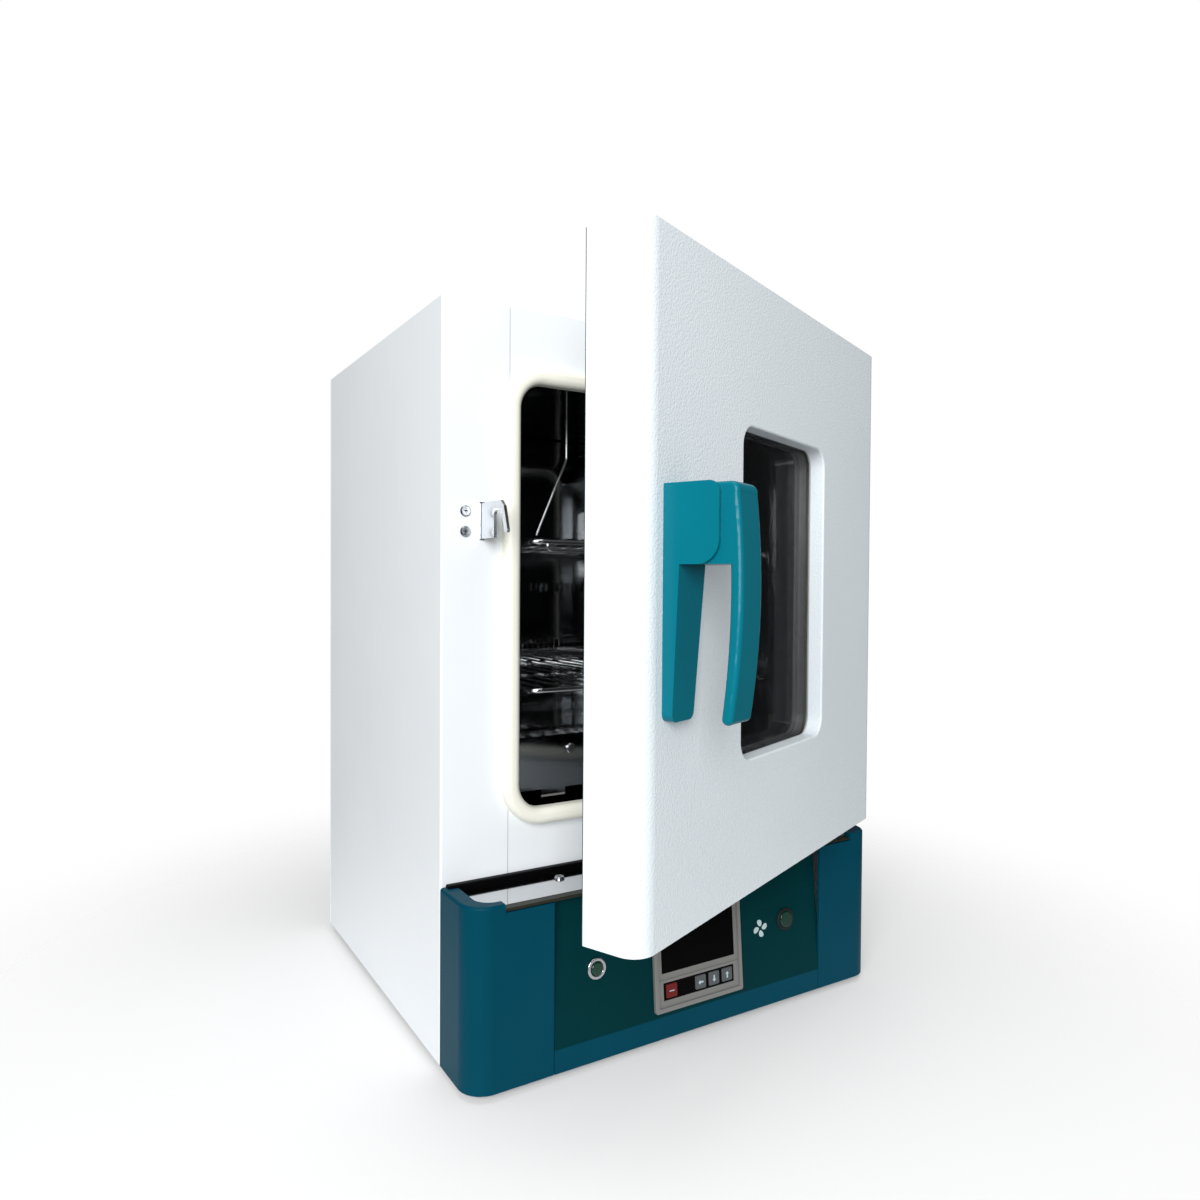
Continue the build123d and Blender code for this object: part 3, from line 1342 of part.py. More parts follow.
# Handle base: a plate with two cheeks above, and the leg that tapers down the door
cheek_top_round = 9.0
cheek_low_round = 19.0
leg_round = 7.0
leg_low = block_low - leg_length
with BuildPart() as handle_base:
    for x in (handle_x, handle_far - cheek_thickness):
        with BuildSketch(side_plane(x)):
            with Locations((door_front - block_reach / 2, (block_low + block_high) / 2)):
                Rectangle(block_reach, block_height)
            fillet(vertices().group_by(Axis.X)[0].sort_by(Axis.Y).first, cheek_low_round)
            fillet(vertices().group_by(Axis.X)[0].sort_by(Axis.Y).last, cheek_top_round)
        extrude(amount=cheek_thickness)
    slab((handle_x, handle_far), (door_front - base_plate, door_front), (block_low, block_high))
    with BuildSketch(front_plane(door_front)) as leg_front:
        with BuildLine():
            Polyline(
                (handle_x, block_low + 1),
                (handle_far, block_low + 1),
                (handle_far - leg_taper, leg_low),
                (handle_x, leg_low),
                close=True,
            )
        make_face()
        fillet(vertices().group_by(Axis.Y)[0], leg_round)
    extrude(amount=leg_root)
    with BuildSketch(side_plane(handle_x - 1)):
        with BuildLine():
            Polyline(
                (door_front - leg_root, block_low - 0.01),
                (door_front - leg_root - 1, block_low - 0.01),
                (door_front - leg_root - 1, leg_low - 1),
                (door_front - leg_tip, leg_low - 1),
                close=True,
            )
        make_face()
    extrude(amount=handle_width + 2, mode=Mode.SUBTRACT)
    with BuildSketch(side_plane(handle_x + cheek_thickness - 1.6)):
        with Locations((pivot_y, pivot_z)):
            Circle(pivot_pin_radius + running_clearance)
    extrude(amount=handle_width - 2 * cheek_thickness + 3.2, mode=Mode.SUBTRACT)
    slab(tail_slot[0], (door_front - leg_root - 1, door_front + 1), tail_slot[1], mode=Mode.SUBTRACT)
door_pieces["handle_base"] = handle_base.part

# Lever: the hub between the cheeks, the bowed grip below it and the tail through the door skin
lever_gap = 0.5
lever_left = handle_x + cheek_thickness + lever_gap
lever_width = handle_width - 2 * (cheek_thickness + lever_gap)
hub_back = 18.0
grip_low = leg_low
grip_round = 3.6


def reach(out):
    return door_front - out


with BuildPart() as lever:
    with BuildSketch(side_plane(lever_left)):
        with BuildLine():
            crown = Line((reach(hub_back), block_high - 1), (reach(57), block_high - 1))
            brow = TangentArc(crown @ 1, (reach(64.5), block_high - 10), tangent=crown % 1)
            face = ThreePointArc(brow @ 1, (reach(68.5), pivot_z - 68), (reach(60.5), grip_low + 6))
            foot = TangentArc(face @ 1, (reach(51), grip_low + 7), tangent=face % 1)
            inside = ThreePointArc(foot @ 1, (reach(57), pivot_z - 92), (reach(57.5), block_low))
            under = Line(inside @ 1, (reach(hub_back + 2), block_low))
            Polyline(under @ 1, (reach(hub_back), block_low + 2), crown @ 0)
        make_face()
    extrude(amount=lever_width)
    grip_edges = [e for e in lever.faces().filter_by(Axis.X).edges() if e.center().Y < reach(53)]
    fillet(grip_edges, grip_round)
    with BuildSketch(side_plane(tail_x)):
        with BuildLine():
            Polyline(
                (reach(hub_back + 4), pivot_z - 13),
                (reach(hub_back + 4), pivot_z + 9),
                (reach(4), pivot_z + 1),
                (latch_y, latch_z + 6.5),
                (latch_y, latch_z - 6.5),
                (reach(4), pivot_z - 14),
                close=True,
            )
        make_face()
        with Locations((latch_y, latch_z)):
            Circle(6.5)
    extrude(amount=tail_thickness)
    with BuildSketch(side_plane(handle_x)):
        with Locations((pivot_y, pivot_z)):
            Circle(pivot_pin_radius)
    extrude(amount=handle_width, mode=Mode.SUBTRACT)
    with BuildSketch(side_plane(tail_x - 1)):
        with Locations((latch_y, latch_z)):
            Circle(latch_pin_radius)
    extrude(amount=tail_thickness + 2, mode=Mode.SUBTRACT)
handle_pieces["lever"] = lever.part

latch_overhang = 4.0
with BuildPart() as lever_pins:
    with BuildSketch(side_plane(handle_x + cheek_thickness - 1.5)):
        with Locations((pivot_y, pivot_z)):
            Circle(pivot_pin_radius)
    extrude(amount=handle_width - 2 * cheek_thickness + 3.0)
    with BuildSketch(side_plane(keeper_x - latch_overhang)):
        with Locations((latch_y, latch_z)):
            Circle(latch_pin_radius)
    extrude(amount=tail_x + tail_thickness - keeper_x + latch_overhang)
handle_pieces["lever_pins"] = lever_pins.part

# The door stands ajar at rest
for name, piece in {**door_pieces, **handle_pieces}.items():
    save(piece.rotate(hinge_line, door_ajar), name)

# Pan-head screws: the front ones at the keeper and the hinges, the others on the panels
shank = 8.0
short_shank = 3.2
with BuildPart() as front_screws:
    for x, z in keeper_screws:
        add(pan_screw(Plane(origin=(x, front_y - 0.1, z), x_dir=(1, 0, 0), z_dir=(0, -1, 0)), shank))
    for x, z in hinge_screws:
        seat = Plane(origin=(x, hinge_plate_face + low_head_height, z), x_dir=(1, 0, 0), z_dir=(0, -1, 0))
        add(pan_screw(seat, shank, low_head, low_head_height, 0.4))
front_screws.part.label = "front_screws"
export_step(front_screws.part, "parts/front_screws.step")

panel_screw_places = []
for x, y in ledge_screws:
    panel_screw_places.append(Plane(origin=(x, y, ledge_z + 0.1), x_dir=(1, 0, 0), z_dir=(0, 0, 1)))
for x, z in back_screws:
    panel_screw_places.append(Plane(origin=(x, back_y + 0.1, z), x_dir=(1, 0, 0), z_dir=(0, 1, 0)))
for hand in (-1, 1):
    panel_screw_places.append(Plane(origin=(hand * cover_screw_x, cover_y - 0.1, cover_top - 16.5),
        x_dir=(1, 0, 0), z_dir=(0, -1, 0)))
with BuildPart() as panel_screws:
    for place in panel_screw_places:
        add(pan_screw(place, short_shank))
panel_screws.part.label = "panel_screws"
export_step(panel_screws.part, "parts/panel_screws.step")
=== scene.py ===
import math

import bmesh
import bpy
from mathutils import Matrix, Vector


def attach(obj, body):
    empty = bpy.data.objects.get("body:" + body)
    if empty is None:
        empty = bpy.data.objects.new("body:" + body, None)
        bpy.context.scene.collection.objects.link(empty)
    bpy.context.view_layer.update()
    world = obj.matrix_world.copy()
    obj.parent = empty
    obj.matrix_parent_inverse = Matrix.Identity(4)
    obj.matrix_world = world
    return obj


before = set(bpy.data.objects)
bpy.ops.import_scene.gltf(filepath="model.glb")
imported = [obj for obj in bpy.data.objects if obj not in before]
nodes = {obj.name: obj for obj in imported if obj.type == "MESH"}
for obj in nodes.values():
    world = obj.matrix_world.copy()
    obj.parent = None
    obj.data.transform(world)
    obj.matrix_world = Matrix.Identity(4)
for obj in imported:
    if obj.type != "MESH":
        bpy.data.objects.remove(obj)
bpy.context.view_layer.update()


print("stage: frame loaded,", len(nodes), "nodes")

# The control panel leans back by this much over its height
panel = {"setback": 0.012, "height": 0.1485}
lean = math.atan2(panel["setback"], panel["height"])


# A shader socket that takes part in Python expressions
class Flow:
    def __init__(self, tree, socket):
        self.tree = tree
        self.socket = socket

    def feed(self, target, value):
        if isinstance(value, Flow):
            self.tree.links.new(value.socket, target)
        else:
            target.default_value = value

    def maths(self, operation, first, second):
        node = self.tree.nodes.new("ShaderNodeMath")
        node.operation = operation
        self.feed(node.inputs[0], first)
        self.feed(node.inputs[1], second)
        return Flow(self.tree, node.outputs[0])

    def __add__(self, other):
        return self.maths("ADD", self, other)

    def __radd__(self, other):
        return self.maths("ADD", other, self)

    def __sub__(self, other):
        return self.maths("SUBTRACT", self, other)

    def __rsub__(self, other):
        return self.maths("SUBTRACT", other, self)

    def __mul__(self, other):
        return self.maths("MULTIPLY", self, other)

    def __rmul__(self, other):
        return self.maths("MULTIPLY", other, self)

    def via(self, kind, takes, gives, settings=None, values=None):
        node = self.tree.nodes.new(kind)
        for name, value in (settings or {}).items():
            setattr(node, name, value)
        for name, value in (values or {}).items():
            self.feed(node.inputs[name], value)
        self.tree.links.new(self.socket, node.inputs[takes])
        return Flow(self.tree, node.outputs[gives])


def startMaterial(name):
    material = bpy.data.materials.new(name)
    material.use_nodes = True
    tree = material.node_tree
    shader = tree.nodes["Principled BSDF"]
    coords = tree.nodes.new("ShaderNodeTexCoord")
    return material, shader, Flow(tree, coords.outputs["Object"])


def mixTones(factor, low, high):
    return factor.via("ShaderNodeMix", "Factor", 2, {"data_type": "RGBA"}, {6: (*low, 1.0), 7: (*high, 1.0)})


# A surface made of two close tones, a roughness that wanders a little and a fine relief
def surface(look):
    material, shader, place = startMaterial(look["name"])
    drift = place.via("ShaderNodeTexNoise", "Vector", "Fac",
        values={"Scale": look.get("patch", 9.0), "Detail": 3.0})
    place.feed(shader.inputs["Base Color"], mixTones(drift, look["low"], look["high"]))
    spread = look.get("roughSpread", 0.06)
    place.feed(shader.inputs["Roughness"], drift * spread + (look["rough"] - spread / 2))
    if look.get("relief"):
        grain = place.via("ShaderNodeTexNoise", "Vector", "Fac",
            values={"Scale": look["grain"], "Detail": 2.0})
        bump = grain.via("ShaderNodeBump", "Height", "Normal",
            values={"Strength": look.get("strength", 0.4), "Distance": look["relief"]})
        place.feed(shader.inputs["Normal"], bump)
    shader.inputs["Metallic"].default_value = look.get("metallic", 0.0)
    shader.inputs["Coat Weight"].default_value = look.get("coat", 0.0)
    shader.inputs["Coat Roughness"].default_value = look.get("coatRough", 0.08)
    shader.inputs["Alpha"].default_value = look.get("alpha", 1.0)
    shader.inputs["Specular IOR Level"].default_value = look.get("specular", 0.5)
    return material


def dress(material, *names):
    for name in names:
        piece = nodes[name]
        piece.data.materials.clear()
        piece.data.materials.append(material)


powderWhite = surface({
    "name": "powderWhite", "low": (0.79, 0.83, 0.86), "high": (0.83, 0.865, 0.89),
    "rough": 0.42, "grain": 900.0, "relief": 0.00006, "strength": 0.25,
})
doorPaint = surface({
    "name": "doorPaint", "low": (0.73, 0.80, 0.84), "high": (0.77, 0.83, 0.87), "rough": 0.5,
    "grain": 480.0, "relief": 0.0009, "strength": 0.6,
})
mirrorSteel = surface({
    "name": "mirrorSteel", "low": (0.29, 0.30, 0.31), "high": (0.34, 0.35, 0.36),
    "rough": 0.06, "roughSpread": 0.03, "metallic": 1.0, "grain": 26.0, "relief": 0.0004,
    "strength": 0.12,
})
ledgeSteel = surface({
    "name": "ledgeSteel", "low": (0.62, 0.63, 0.64), "high": (0.67, 0.68, 0.69), "rough": 0.07,
    "roughSpread": 0.03, "metallic": 1.0, "grain": 18.0, "relief": 0.0002, "strength": 0.08,
})
plainZinc = surface({
    "name": "plainZinc", "low": (0.46, 0.47, 0.49), "high": (0.6, 0.61, 0.62), "rough": 0.38,
    "patch": 60.0, "roughSpread": 0.16, "metallic": 1.0,
})
brightSteel = surface({
    "name": "brightSteel", "low": (0.64, 0.66, 0.69), "high": (0.72, 0.73, 0.75), "rough": 0.2,
    "metallic": 1.0, "grain": 300.0, "relief": 0.00005, "strength": 0.2,
})
chromeWire = surface({
    "name": "chromeWire", "low": (0.74, 0.75, 0.76), "high": (0.8, 0.81, 0.82), "rough": 0.12,
    "metallic": 1.0,
})
screwSteel = surface({
    "name": "screwSteel", "low": (0.30, 0.31, 0.33), "high": (0.38, 0.39, 0.41), "rough": 0.22,
    "metallic": 1.0, "grain": 300.0, "relief": 0.00005, "strength": 0.2,
})
mineralWool = surface({
    "name": "mineralWool", "low": (0.62, 0.56, 0.38), "high": (0.82, 0.77, 0.6), "rough": 0.95,
    "patch": 70.0, "grain": 260.0, "relief": 0.002, "strength": 0.8,
})
creamSilicone = surface({
    "name": "creamSilicone", "low": (0.83, 0.83, 0.72), "high": (0.88, 0.88, 0.79),
    "rough": 0.45, "grain": 500.0, "relief": 0.0001, "strength": 0.2,
})
greySilicone = surface({
    "name": "greySilicone", "low": (0.30, 0.32, 0.33), "high": (0.36, 0.38, 0.39),
    "rough": 0.5,
})
darkEnamel = surface({
    "name": "darkEnamel", "low": (0.03, 0.033, 0.036), "high": (0.05, 0.053, 0.057),
    "rough": 0.4, "grain": 400.0, "relief": 0.0002,
})
tealPaint = surface({
    "name": "tealPaint", "low": (0.0, 0.044, 0.074), "high": (0.0, 0.054, 0.088),
    "rough": 0.36, "specular": 0.05, "grain": 700.0, "relief": 0.00005, "strength": 0.2,
})
handleEnamel = surface({
    "name": "handleEnamel", "low": (0.0, 0.125, 0.175), "high": (0.0, 0.165, 0.225),
    "rough": 0.26, "specular": 0.18, "grain": 320.0, "relief": 0.00012, "strength": 0.3,
})
# Gloss black: the display and key strip are black parts; on the ledge strip it is painted shade inside the
# slot along the bottom of the front panel
blackGloss = surface({
    "name": "blackGloss", "low": (0.0008, 0.0008, 0.001), "high": (0.002, 0.002, 0.0024),
    "rough": 0.3, "specular": 0.03,
})
# Near-black olive for the trim bar: partly its own dark plastic, partly painted shade of the gap under the
# ledge's front lip
oliveTrimGapShade = surface({
    "name": "oliveTrimGapShade", "low": (0.016, 0.018, 0.010), "high": (0.026, 0.028, 0.017),
    "rough": 0.4, "specular": 0.2, "grain": 600.0, "relief": 0.0001,
})
bezelGrey = surface({
    "name": "bezelGrey", "low": (0.17, 0.17, 0.165), "high": (0.21, 0.21, 0.2), "rough": 0.4,
    "specular": 0.3, "grain": 1500.0, "relief": 0.00004, "strength": 0.3,
})
keyRed = surface({
    "name": "keyRed", "low": (0.12, 0.010, 0.010), "high": (0.16, 0.014, 0.014), "rough": 0.4,
    "specular": 0.2,
})
keyGrey = surface({
    "name": "keyGrey", "low": (0.075, 0.082, 0.085), "high": (0.1, 0.108, 0.112), "rough": 0.4,
    "specular": 0.2,
})
blackPlastic = surface({
    "name": "blackPlastic", "low": (0.010, 0.010, 0.011), "high": (0.02, 0.02, 0.022),
    "rough": 0.5, "specular": 0.25, "grain": 800.0, "relief": 0.0001,
})
greenLens = surface({
    "name": "greenLens", "low": (0.0005, 0.018, 0.012), "high": (0.001, 0.05, 0.03),
    "rough": 0.14, "patch": 120.0, "coat": 0.2,
})
footRubber = surface({
    "name": "footRubber", "low": (0.012, 0.012, 0.012), "high": (0.025, 0.025, 0.025),
    "rough": 0.8,
})
smokedPane = surface({
    "name": "smokedPane", "low": (0.001, 0.002, 0.0025), "high": (0.002, 0.003, 0.004),
    "rough": 0.03, "roughSpread": 0.01, "specular": 0.35, "alpha": 0.3,
})
filmTeal = surface({
    "name": "filmTeal", "low": (0.0, 0.025, 0.029), "high": (0.0, 0.032, 0.037), "rough": 0.3,
    "specular": 0.04,
})

dress(powderWhite, "side_panel_left", "side_panel_right", "front_panel", "top_panel", "back_panel")
dress(doorPaint, "door_skin")
dress(mirrorSteel, "chamber_liner", "duct_panel", "heater_cover", "door_inner_panel")
dress(ledgeSteel, "ledge_plate")
dress(plainZinc, "deck_plate", "base_tray", "hinge_leaves", "vent_tube", "heater", "window_frame",
    "hinge_brackets")
dress(chromeWire, "shelf_upper", "shelf_lower", "shelf_rails_left", "shelf_rails_right", "shelf_clips")
dress(screwSteel, "front_screws", "panel_screws")
dress(brightSteel, "keeper", "hinge_pins", "lever_pins", "power_ring",
    "temperature_probe", "fan_wheel")
dress(mineralWool, "chamber_insulation", "door_insulation")
dress(creamSilicone, "door_gasket")
dress(greySilicone, "window_seals")
dress(darkEnamel, "fan_motor")
dress(tealPaint, "pillar_left", "pillar_right", "fascia")
dress(filmTeal, "panel_film")
dress(handleEnamel, "handle_base", "lever")
# On the ledge strip the gloss black is painted shade of the slot under the front panel
dress(blackGloss, "ledge_strip", "display_window", "key_strip")
# The trim bar's near-black olive is partly painted shade of the gap under the ledge lip
dress(oliveTrimGapShade, "trim_bar")
dress(bezelGrey, "controller_bezel")
dress(keyRed, "key_set")
dress(keyGrey, "key_shift", "key_down", "key_up")
dress(blackPlastic, "controller_body", "relay", "power_inlet", "fan_ring")
dress(greenLens, "power_button", "fan_button")
dress(footRubber, "feet")
dress(smokedPane, "outer_glass", "inner_glass")
print("stage: materials")


# One mesh of thin plates, each the outline given, laid out by the place function
def outlinePlate(name, outlines, place, thickness, material):
    shape = bmesh.new()
    for outline in outlines:
        lower = [shape.verts.new(place(u, v, 0.0)) for u, v in outline]
        upper = [shape.verts.new(place(u, v, thickness)) for u, v in outline]
        shape.faces.new(upper)
        shape.faces.new(lower[::-1])
        count = len(outline)
        for step in range(count):
            after = (step + 1) % count
            shape.faces.new((lower[step], lower[after], upper[after], upper[step]))
    bmesh.ops.recalc_face_normals(shape, faces=shape.faces)
    mesh = bpy.data.meshes.new(name)
    shape.to_mesh(mesh)
    shape.free()
    mesh.materials.append(material)
    piece = bpy.data.objects.new(name, mesh)
    bpy.context.collection.objects.link(piece)
    return piece


# Places on the leaning panel: u across, v up the floor height, lift out of the face
panelNormal = Vector((0.0, -math.cos(lean), math.sin(lean)))


def onPanel(nodeName, centre, clearance=0.00003):
    reach = max(panelNormal.dot(vertex.co) for vertex in nodes[nodeName].data.vertices)
    slope = Vector((0.0, math.sin(lean), math.cos(lean)))
    level = (centre[1] * math.sin(lean) - reach) / math.cos(lean)
    origin = Vector((centre[0], level, centre[1]))

    def place(u, v, lift):
        return origin + Vector((u, 0.0, 0.0)) + slope * v + panelNormal * (lift + clearance)

    return place


printWhite = surface({
    "name": "printWhite", "low": (0.42, 0.54, 0.57), "high": (0.48, 0.6, 0.63), "rough": 0.5,
})
inkThickness = 0.00005

# Fan symbol beside the right button
fanSymbol = {"centre": (0.0928, 0.0984), "blade": 0.0099, "width": 0.0036, "tip": 0.0009, "steps": 18,
    "quarters": 4, "middle": 0.62, "swing": 0.40, "slim": 0.7, "fat": 0.45}
petals = []
for quarter in range(fanSymbol["quarters"]):
    angle = 2 * math.pi * quarter / fanSymbol["quarters"]
    outline = []
    for step in range(fanSymbol["steps"]):
        around = 2 * math.pi * step / fanSymbol["steps"]
        along = fanSymbol["blade"] * (fanSymbol["middle"] - fanSymbol["swing"] * math.cos(around))
        swell = fanSymbol["slim"] + fanSymbol["fat"] * (1 - math.cos(around)) / 2
        side = fanSymbol["width"] * math.sin(around) * swell + fanSymbol["tip"] * (1 - math.cos(around))
        outline.append((along * math.cos(angle) - side * math.sin(angle),
            along * math.sin(angle) + side * math.cos(angle)))
    petals.append(outline)
symbolMark = outlinePlate("fanMark", petals, onPanel("panel_film", fanSymbol["centre"]), inkThickness,
    printWhite)
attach(symbolMark, "cabinet")

# Arrow marks on the grey keys, a bar on the red one
arrow = {"tip": 0.0036, "neck": 0.0008, "head": 0.0026, "shaft": 0.0009}
keyBar = {"half": 0.0032, "rise": 0.0005}


# An arrow along the direction given, from its tail to its tip
def arrowOutline(across, up):
    profile = [(arrow["tip"], 0.0), (arrow["neck"], arrow["head"]), (arrow["neck"], arrow["shaft"]),
        (-arrow["tip"], arrow["shaft"]), (-arrow["tip"], -arrow["shaft"]), (arrow["neck"], -arrow["shaft"]),
        (arrow["neck"], -arrow["head"])]
    return [(along * across - side * up, along * up + side * across) for along, side in profile]


keyMarks = {
    "key_set": [[(u * keyBar["half"], v * keyBar["rise"]) for u, v in ((-1, -1), (1, -1), (1, 1), (-1, 1))]],
    "key_shift": [arrowOutline(-1, 0)],
    "key_down": [arrowOutline(0, -1)],
    "key_up": [arrowOutline(0, 1)],
}
for keyName, outlines in keyMarks.items():
    corners = [vertex.co for vertex in nodes[keyName].data.vertices]
    middle = []
    for axis in (0, 2):
        levels = [corner[axis] for corner in corners]
        middle.append((min(levels) + max(levels)) / 2)
    mark = outlinePlate(keyName + ".mark", outlines, onPanel(keyName, middle), inkThickness, printWhite)
    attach(mark, keyName)
print("stage: marks")

# Dark crosses laid on the screw heads: painted shade standing for the shade inside their cross recesses
recess = {"length": 0.0048, "width": 0.0009, "depth": 0.00006, "lift": 0.00004,
    "nodes": ("front_screws", "panel_screws")}


# Middle and outward direction of each screw's head
def screwHeads(nodeName):
    shape = bmesh.new()
    shape.from_mesh(nodes[nodeName].data)
    bmesh.ops.remove_doubles(shape, verts=shape.verts, dist=0.000001)
    waiting = set(shape.verts)
    heads = []
    while waiting:
        island, edgeOfIsland = set(), [next(iter(waiting))]
        while edgeOfIsland:
            vertex = edgeOfIsland.pop()
            if vertex not in island:
                island.add(vertex)
                edgeOfIsland.extend(link.other_vert(vertex) for link in vertex.link_edges)
        waiting -= island
        heads.append(headOf([vertex.co for vertex in island]))
    shape.free()
    return heads


def headOf(corners):
    low = Vector([min(corner[axis] for corner in corners) for axis in range(3)])
    high = Vector([max(corner[axis] for corner in corners) for axis in range(3)])
    middle, spans = (low + high) / 2, high - low
    along = min(range(3), key=lambda axis: abs(spans[(axis + 1) % 3] - spans[(axis + 2) % 3]))
    reachOf = {}
    for side, level in ((-1, low[along]), (1, high[along])):
        ring = [corner for corner in corners if abs(corner[along] - level) < 0.0001]
        reachOf[side] = max((corner - middle).length for corner in ring)
    side = max(reachOf, key=reachOf.get)
    outward = Vector((0.0, 0.0, 0.0))
    outward[along] = side
    middle[along] = high[along] if side > 0 else low[along]
    return middle, outward


def recessTree(material):
    tree = bpy.data.node_groups.new("screwRecess", "GeometryNodeTree")
    tree.interface.new_socket("Heads", in_out="INPUT", socket_type="NodeSocketGeometry")
    for name in ("Length", "Width", "Depth"):
        tree.interface.new_socket(name, in_out="INPUT", socket_type="NodeSocketFloat")
    tree.interface.new_socket("Crosses", in_out="OUTPUT", socket_type="NodeSocketGeometry")
    make, link = tree.nodes.new, tree.links.new
    given, result = make("NodeGroupInput"), make("NodeGroupOutput")
    both = make("GeometryNodeJoinGeometry")
    for order in (("Length", "Width", "Depth"), ("Width", "Length", "Depth")):
        size, bar = make("ShaderNodeCombineXYZ"), make("GeometryNodeMeshCube")
        for socket, name in zip(size.inputs, order):
            link(given.outputs[name], socket)
        link(size.outputs[0], bar.inputs["Size"])
        link(bar.outputs["Mesh"], both.inputs[0])
    outward = make("GeometryNodeInputNamedAttribute")
    outward.data_type = "FLOAT_VECTOR"
    outward.inputs["Name"].default_value = "outward"
    turn = make("FunctionNodeAlignRotationToVector")
    turn.axis = "Z"
    link(outward.outputs["Attribute"], turn.inputs["Vector"])
    spread = make("GeometryNodeInstanceOnPoints")
    link(given.outputs["Heads"], spread.inputs["Points"])
    link(both.outputs[0], spread.inputs["Instance"])
    link(turn.outputs[0], spread.inputs["Rotation"])
    plain, painted = make("GeometryNodeRealizeInstances"), make("GeometryNodeSetMaterial")
    painted.inputs["Material"].default_value = material
    link(spread.outputs[0], plain.inputs[0])
    link(plain.outputs[0], painted.inputs["Geometry"])
    link(painted.outputs[0], result.inputs[0])
    return tree


# Near-black painted shade for the screws' cross recesses
recessShade = surface({
    "name": "recessShade", "low": (0.01, 0.01, 0.011), "high": (0.02, 0.02, 0.021),
    "rough": 0.6, "specular": 0.2,
})
crossTree = recessTree(recessShade)
for nodeName in recess["nodes"]:
    found = screwHeads(nodeName)
    points = bpy.data.meshes.new(nodeName + ".heads")
    points.from_pydata([middle + outward * recess["lift"] for middle, outward in found], [], [])
    points.attributes.new("outward", "FLOAT_VECTOR", "POINT").data.foreach_set("vector",
        [part for middle, outward in found for part in outward])
    carrier = bpy.data.objects.new(nodeName + ".carrier", points)
    bpy.context.collection.objects.link(carrier)
    pattern = carrier.modifiers.new("crosses", "NODES")
    pattern.node_group = crossTree
    for socket in crossTree.interface.items_tree:
        if socket.name in ("Length", "Width", "Depth"):
            pattern[socket.identifier] = recess[socket.name.lower()]
    settled = carrier.evaluated_get(bpy.context.evaluated_depsgraph_get())
    crosses = bpy.data.objects.new(nodeName + ".cross", bpy.data.meshes.new_from_object(settled))
    bpy.data.objects.remove(carrier)
    bpy.context.collection.objects.link(crosses)
    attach(crosses, "cabinet")
print("stage: screw recesses")

# Camera of the photo: its lens and place come from the edges of the object in the photo
view = {"place": (-0.5928, -1.0096, 0.499), "yaw": 31.42, "pitch": -1.06, "roll": 0.37, "sensor": 36.0,
    "lens": 26.02, "near": 0.01}
yaw, pitch, roll = [math.radians(view[name]) for name in ("yaw", "pitch", "roll")]
ahead = Vector((math.sin(yaw) * math.cos(pitch), math.cos(yaw) * math.cos(pitch), math.sin(pitch)))
sideways = Vector((math.cos(yaw), -math.sin(yaw), 0.0))
upright = sideways.cross(ahead)
across = math.cos(roll) * sideways + math.sin(roll) * upright
above = math.cos(roll) * upright - math.sin(roll) * sideways
cameraData = bpy.data.cameras.new("photoCamera")
cameraData.sensor_width = view["sensor"]
cameraData.lens = view["lens"]
cameraData.clip_start = view["near"]
camera = bpy.data.objects.new("photoCamera", cameraData)
bpy.context.collection.objects.link(camera)
turn = Matrix((across, above, -ahead)).transposed()
camera.matrix_world = Matrix.Translation(view["place"]) @ turn.to_4x4()
bpy.context.scene.camera = camera

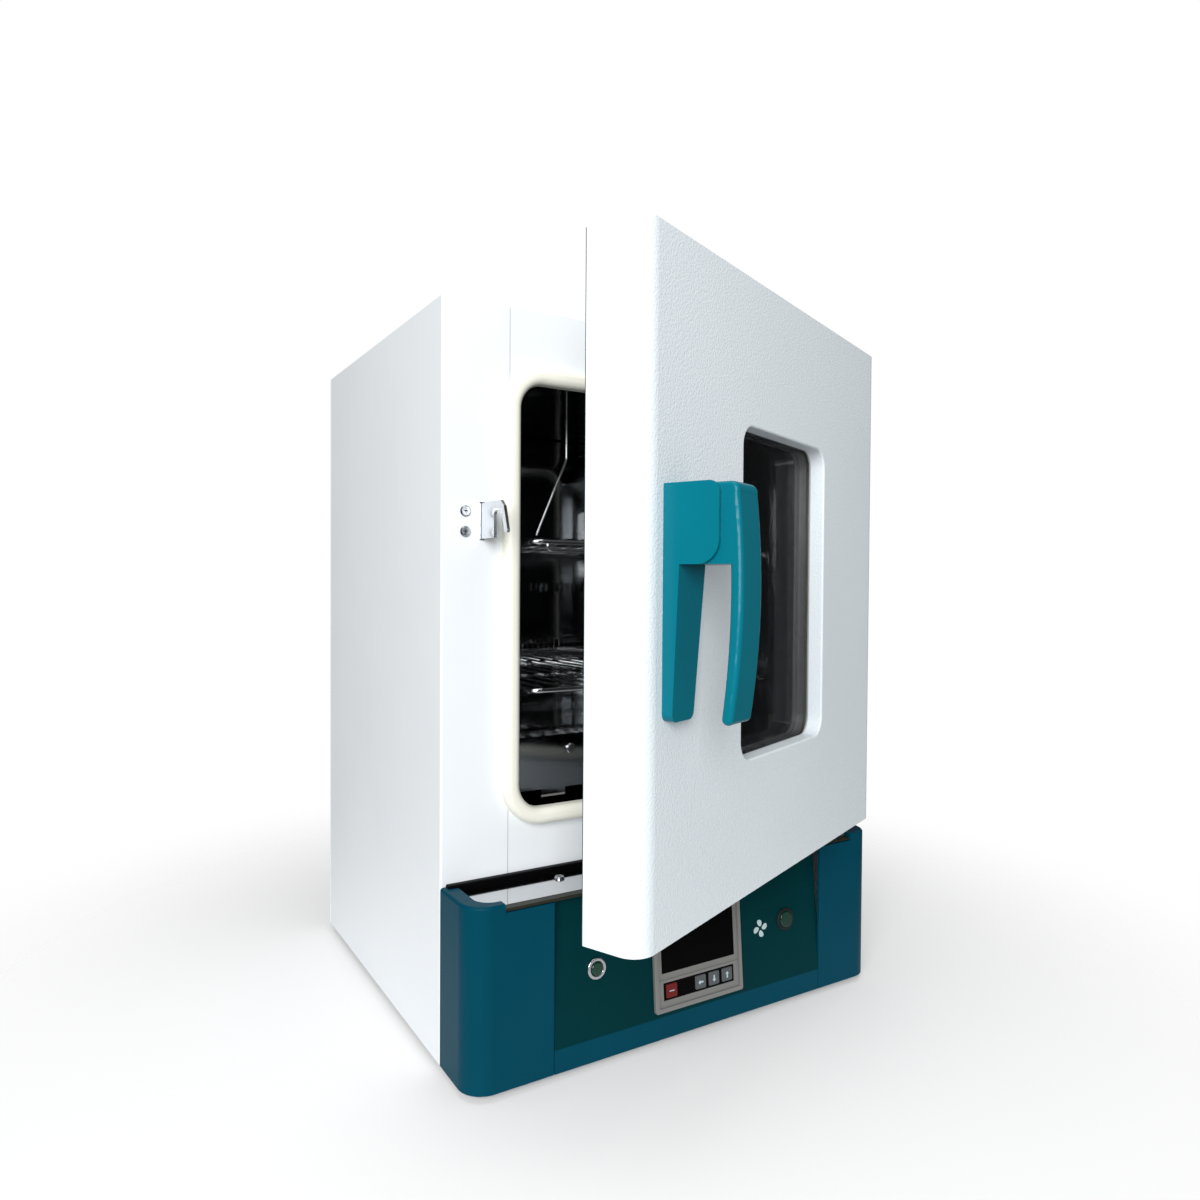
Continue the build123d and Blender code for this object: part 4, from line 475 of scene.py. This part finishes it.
# Pale floor that fades out around the object
ground = {"size": 6.0, "near": 0.3, "far": 1.0, "cover": 0.85}
floorMesh = bpy.data.meshes.new("floor")
floorShape = bmesh.new()
bmesh.ops.create_grid(floorShape, x_segments=1, y_segments=1, size=ground["size"])
floorShape.to_mesh(floorMesh)
floorShape.free()
paleFloor = surface({
    "name": "paleFloor", "low": (0.9, 0.9, 0.9), "high": (0.93, 0.93, 0.93), "rough": 0.7,
    "patch": 2.0, "specular": 0.1,
})
floorShader = paleFloor.node_tree.nodes["Principled BSDF"]
floorPlace = Flow(paleFloor.node_tree, paleFloor.node_tree.nodes["Texture Coordinate"].outputs["Object"])
floorReach = floorPlace.via("ShaderNodeVectorMath", 0, "Value", {"operation": "LENGTH"})
fade = floorReach.via("ShaderNodeMapRange", "Value", "Result", {"interpolation_type": "SMOOTHSTEP"},
    {"From Min": ground["near"], "From Max": ground["far"], "To Min": ground["cover"], "To Max": 0.0})
floorPlace.feed(floorShader.inputs["Alpha"], fade)
floorMesh.materials.append(paleFloor)
floor = bpy.data.objects.new("floor", floorMesh)
bpy.context.collection.objects.link(floor)

# White to the camera, a plain level to everything else, and darker in mirrors
air = {"level": 0.38, "camera": 0.62, "mirror": 0.3}
world = bpy.data.worlds.new("plain")
bpy.context.scene.world = world
world.use_nodes = True
worldTree = world.node_tree
background = worldTree.nodes["Background"]
path = worldTree.nodes.new("ShaderNodeLightPath")
seen = Flow(worldTree, path.outputs["Is Camera Ray"]) + Flow(worldTree, path.outputs["Is Transmission Ray"])
mirrored = Flow(worldTree, path.outputs["Is Glossy Ray"])
background.inputs["Color"].default_value = (1.0, 1.0, 1.0, 1.0)
strength = seen * air["camera"] + air["level"] - mirrored * air["mirror"]
seen.feed(background.inputs["Strength"], strength)

# One lamp near the camera on its left, and a weaker one above
lamps = {
    "keyBox": {"place": (-1.75, -2.2, 1.3), "target": (0.0, -0.2, 0.4), "size": (1.6, 1.6), "power": 84.0},
    "topBox": {"place": (-0.3, -0.7, 2.8), "target": (0.0, -0.1, 0.4), "size": (2.0, 1.4), "power": 20.0},
}


def softLight(name, lamp):
    light = bpy.data.lights.new(name, "AREA")
    light.shape = "RECTANGLE"
    light.size, light.size_y = lamp["size"]
    light.energy = lamp["power"]
    box = bpy.data.objects.new(name, light)
    box.location = lamp["place"]
    box.rotation_euler = (Vector(lamp["target"]) - Vector(lamp["place"])).to_track_quat("-Z", "Y").to_euler()
    bpy.context.collection.objects.link(box)


for name, lamp in lamps.items():
    softLight(name, lamp)
bpy.context.scene.view_settings.view_transform = "Standard"
print("stage: camera, floor and lights")
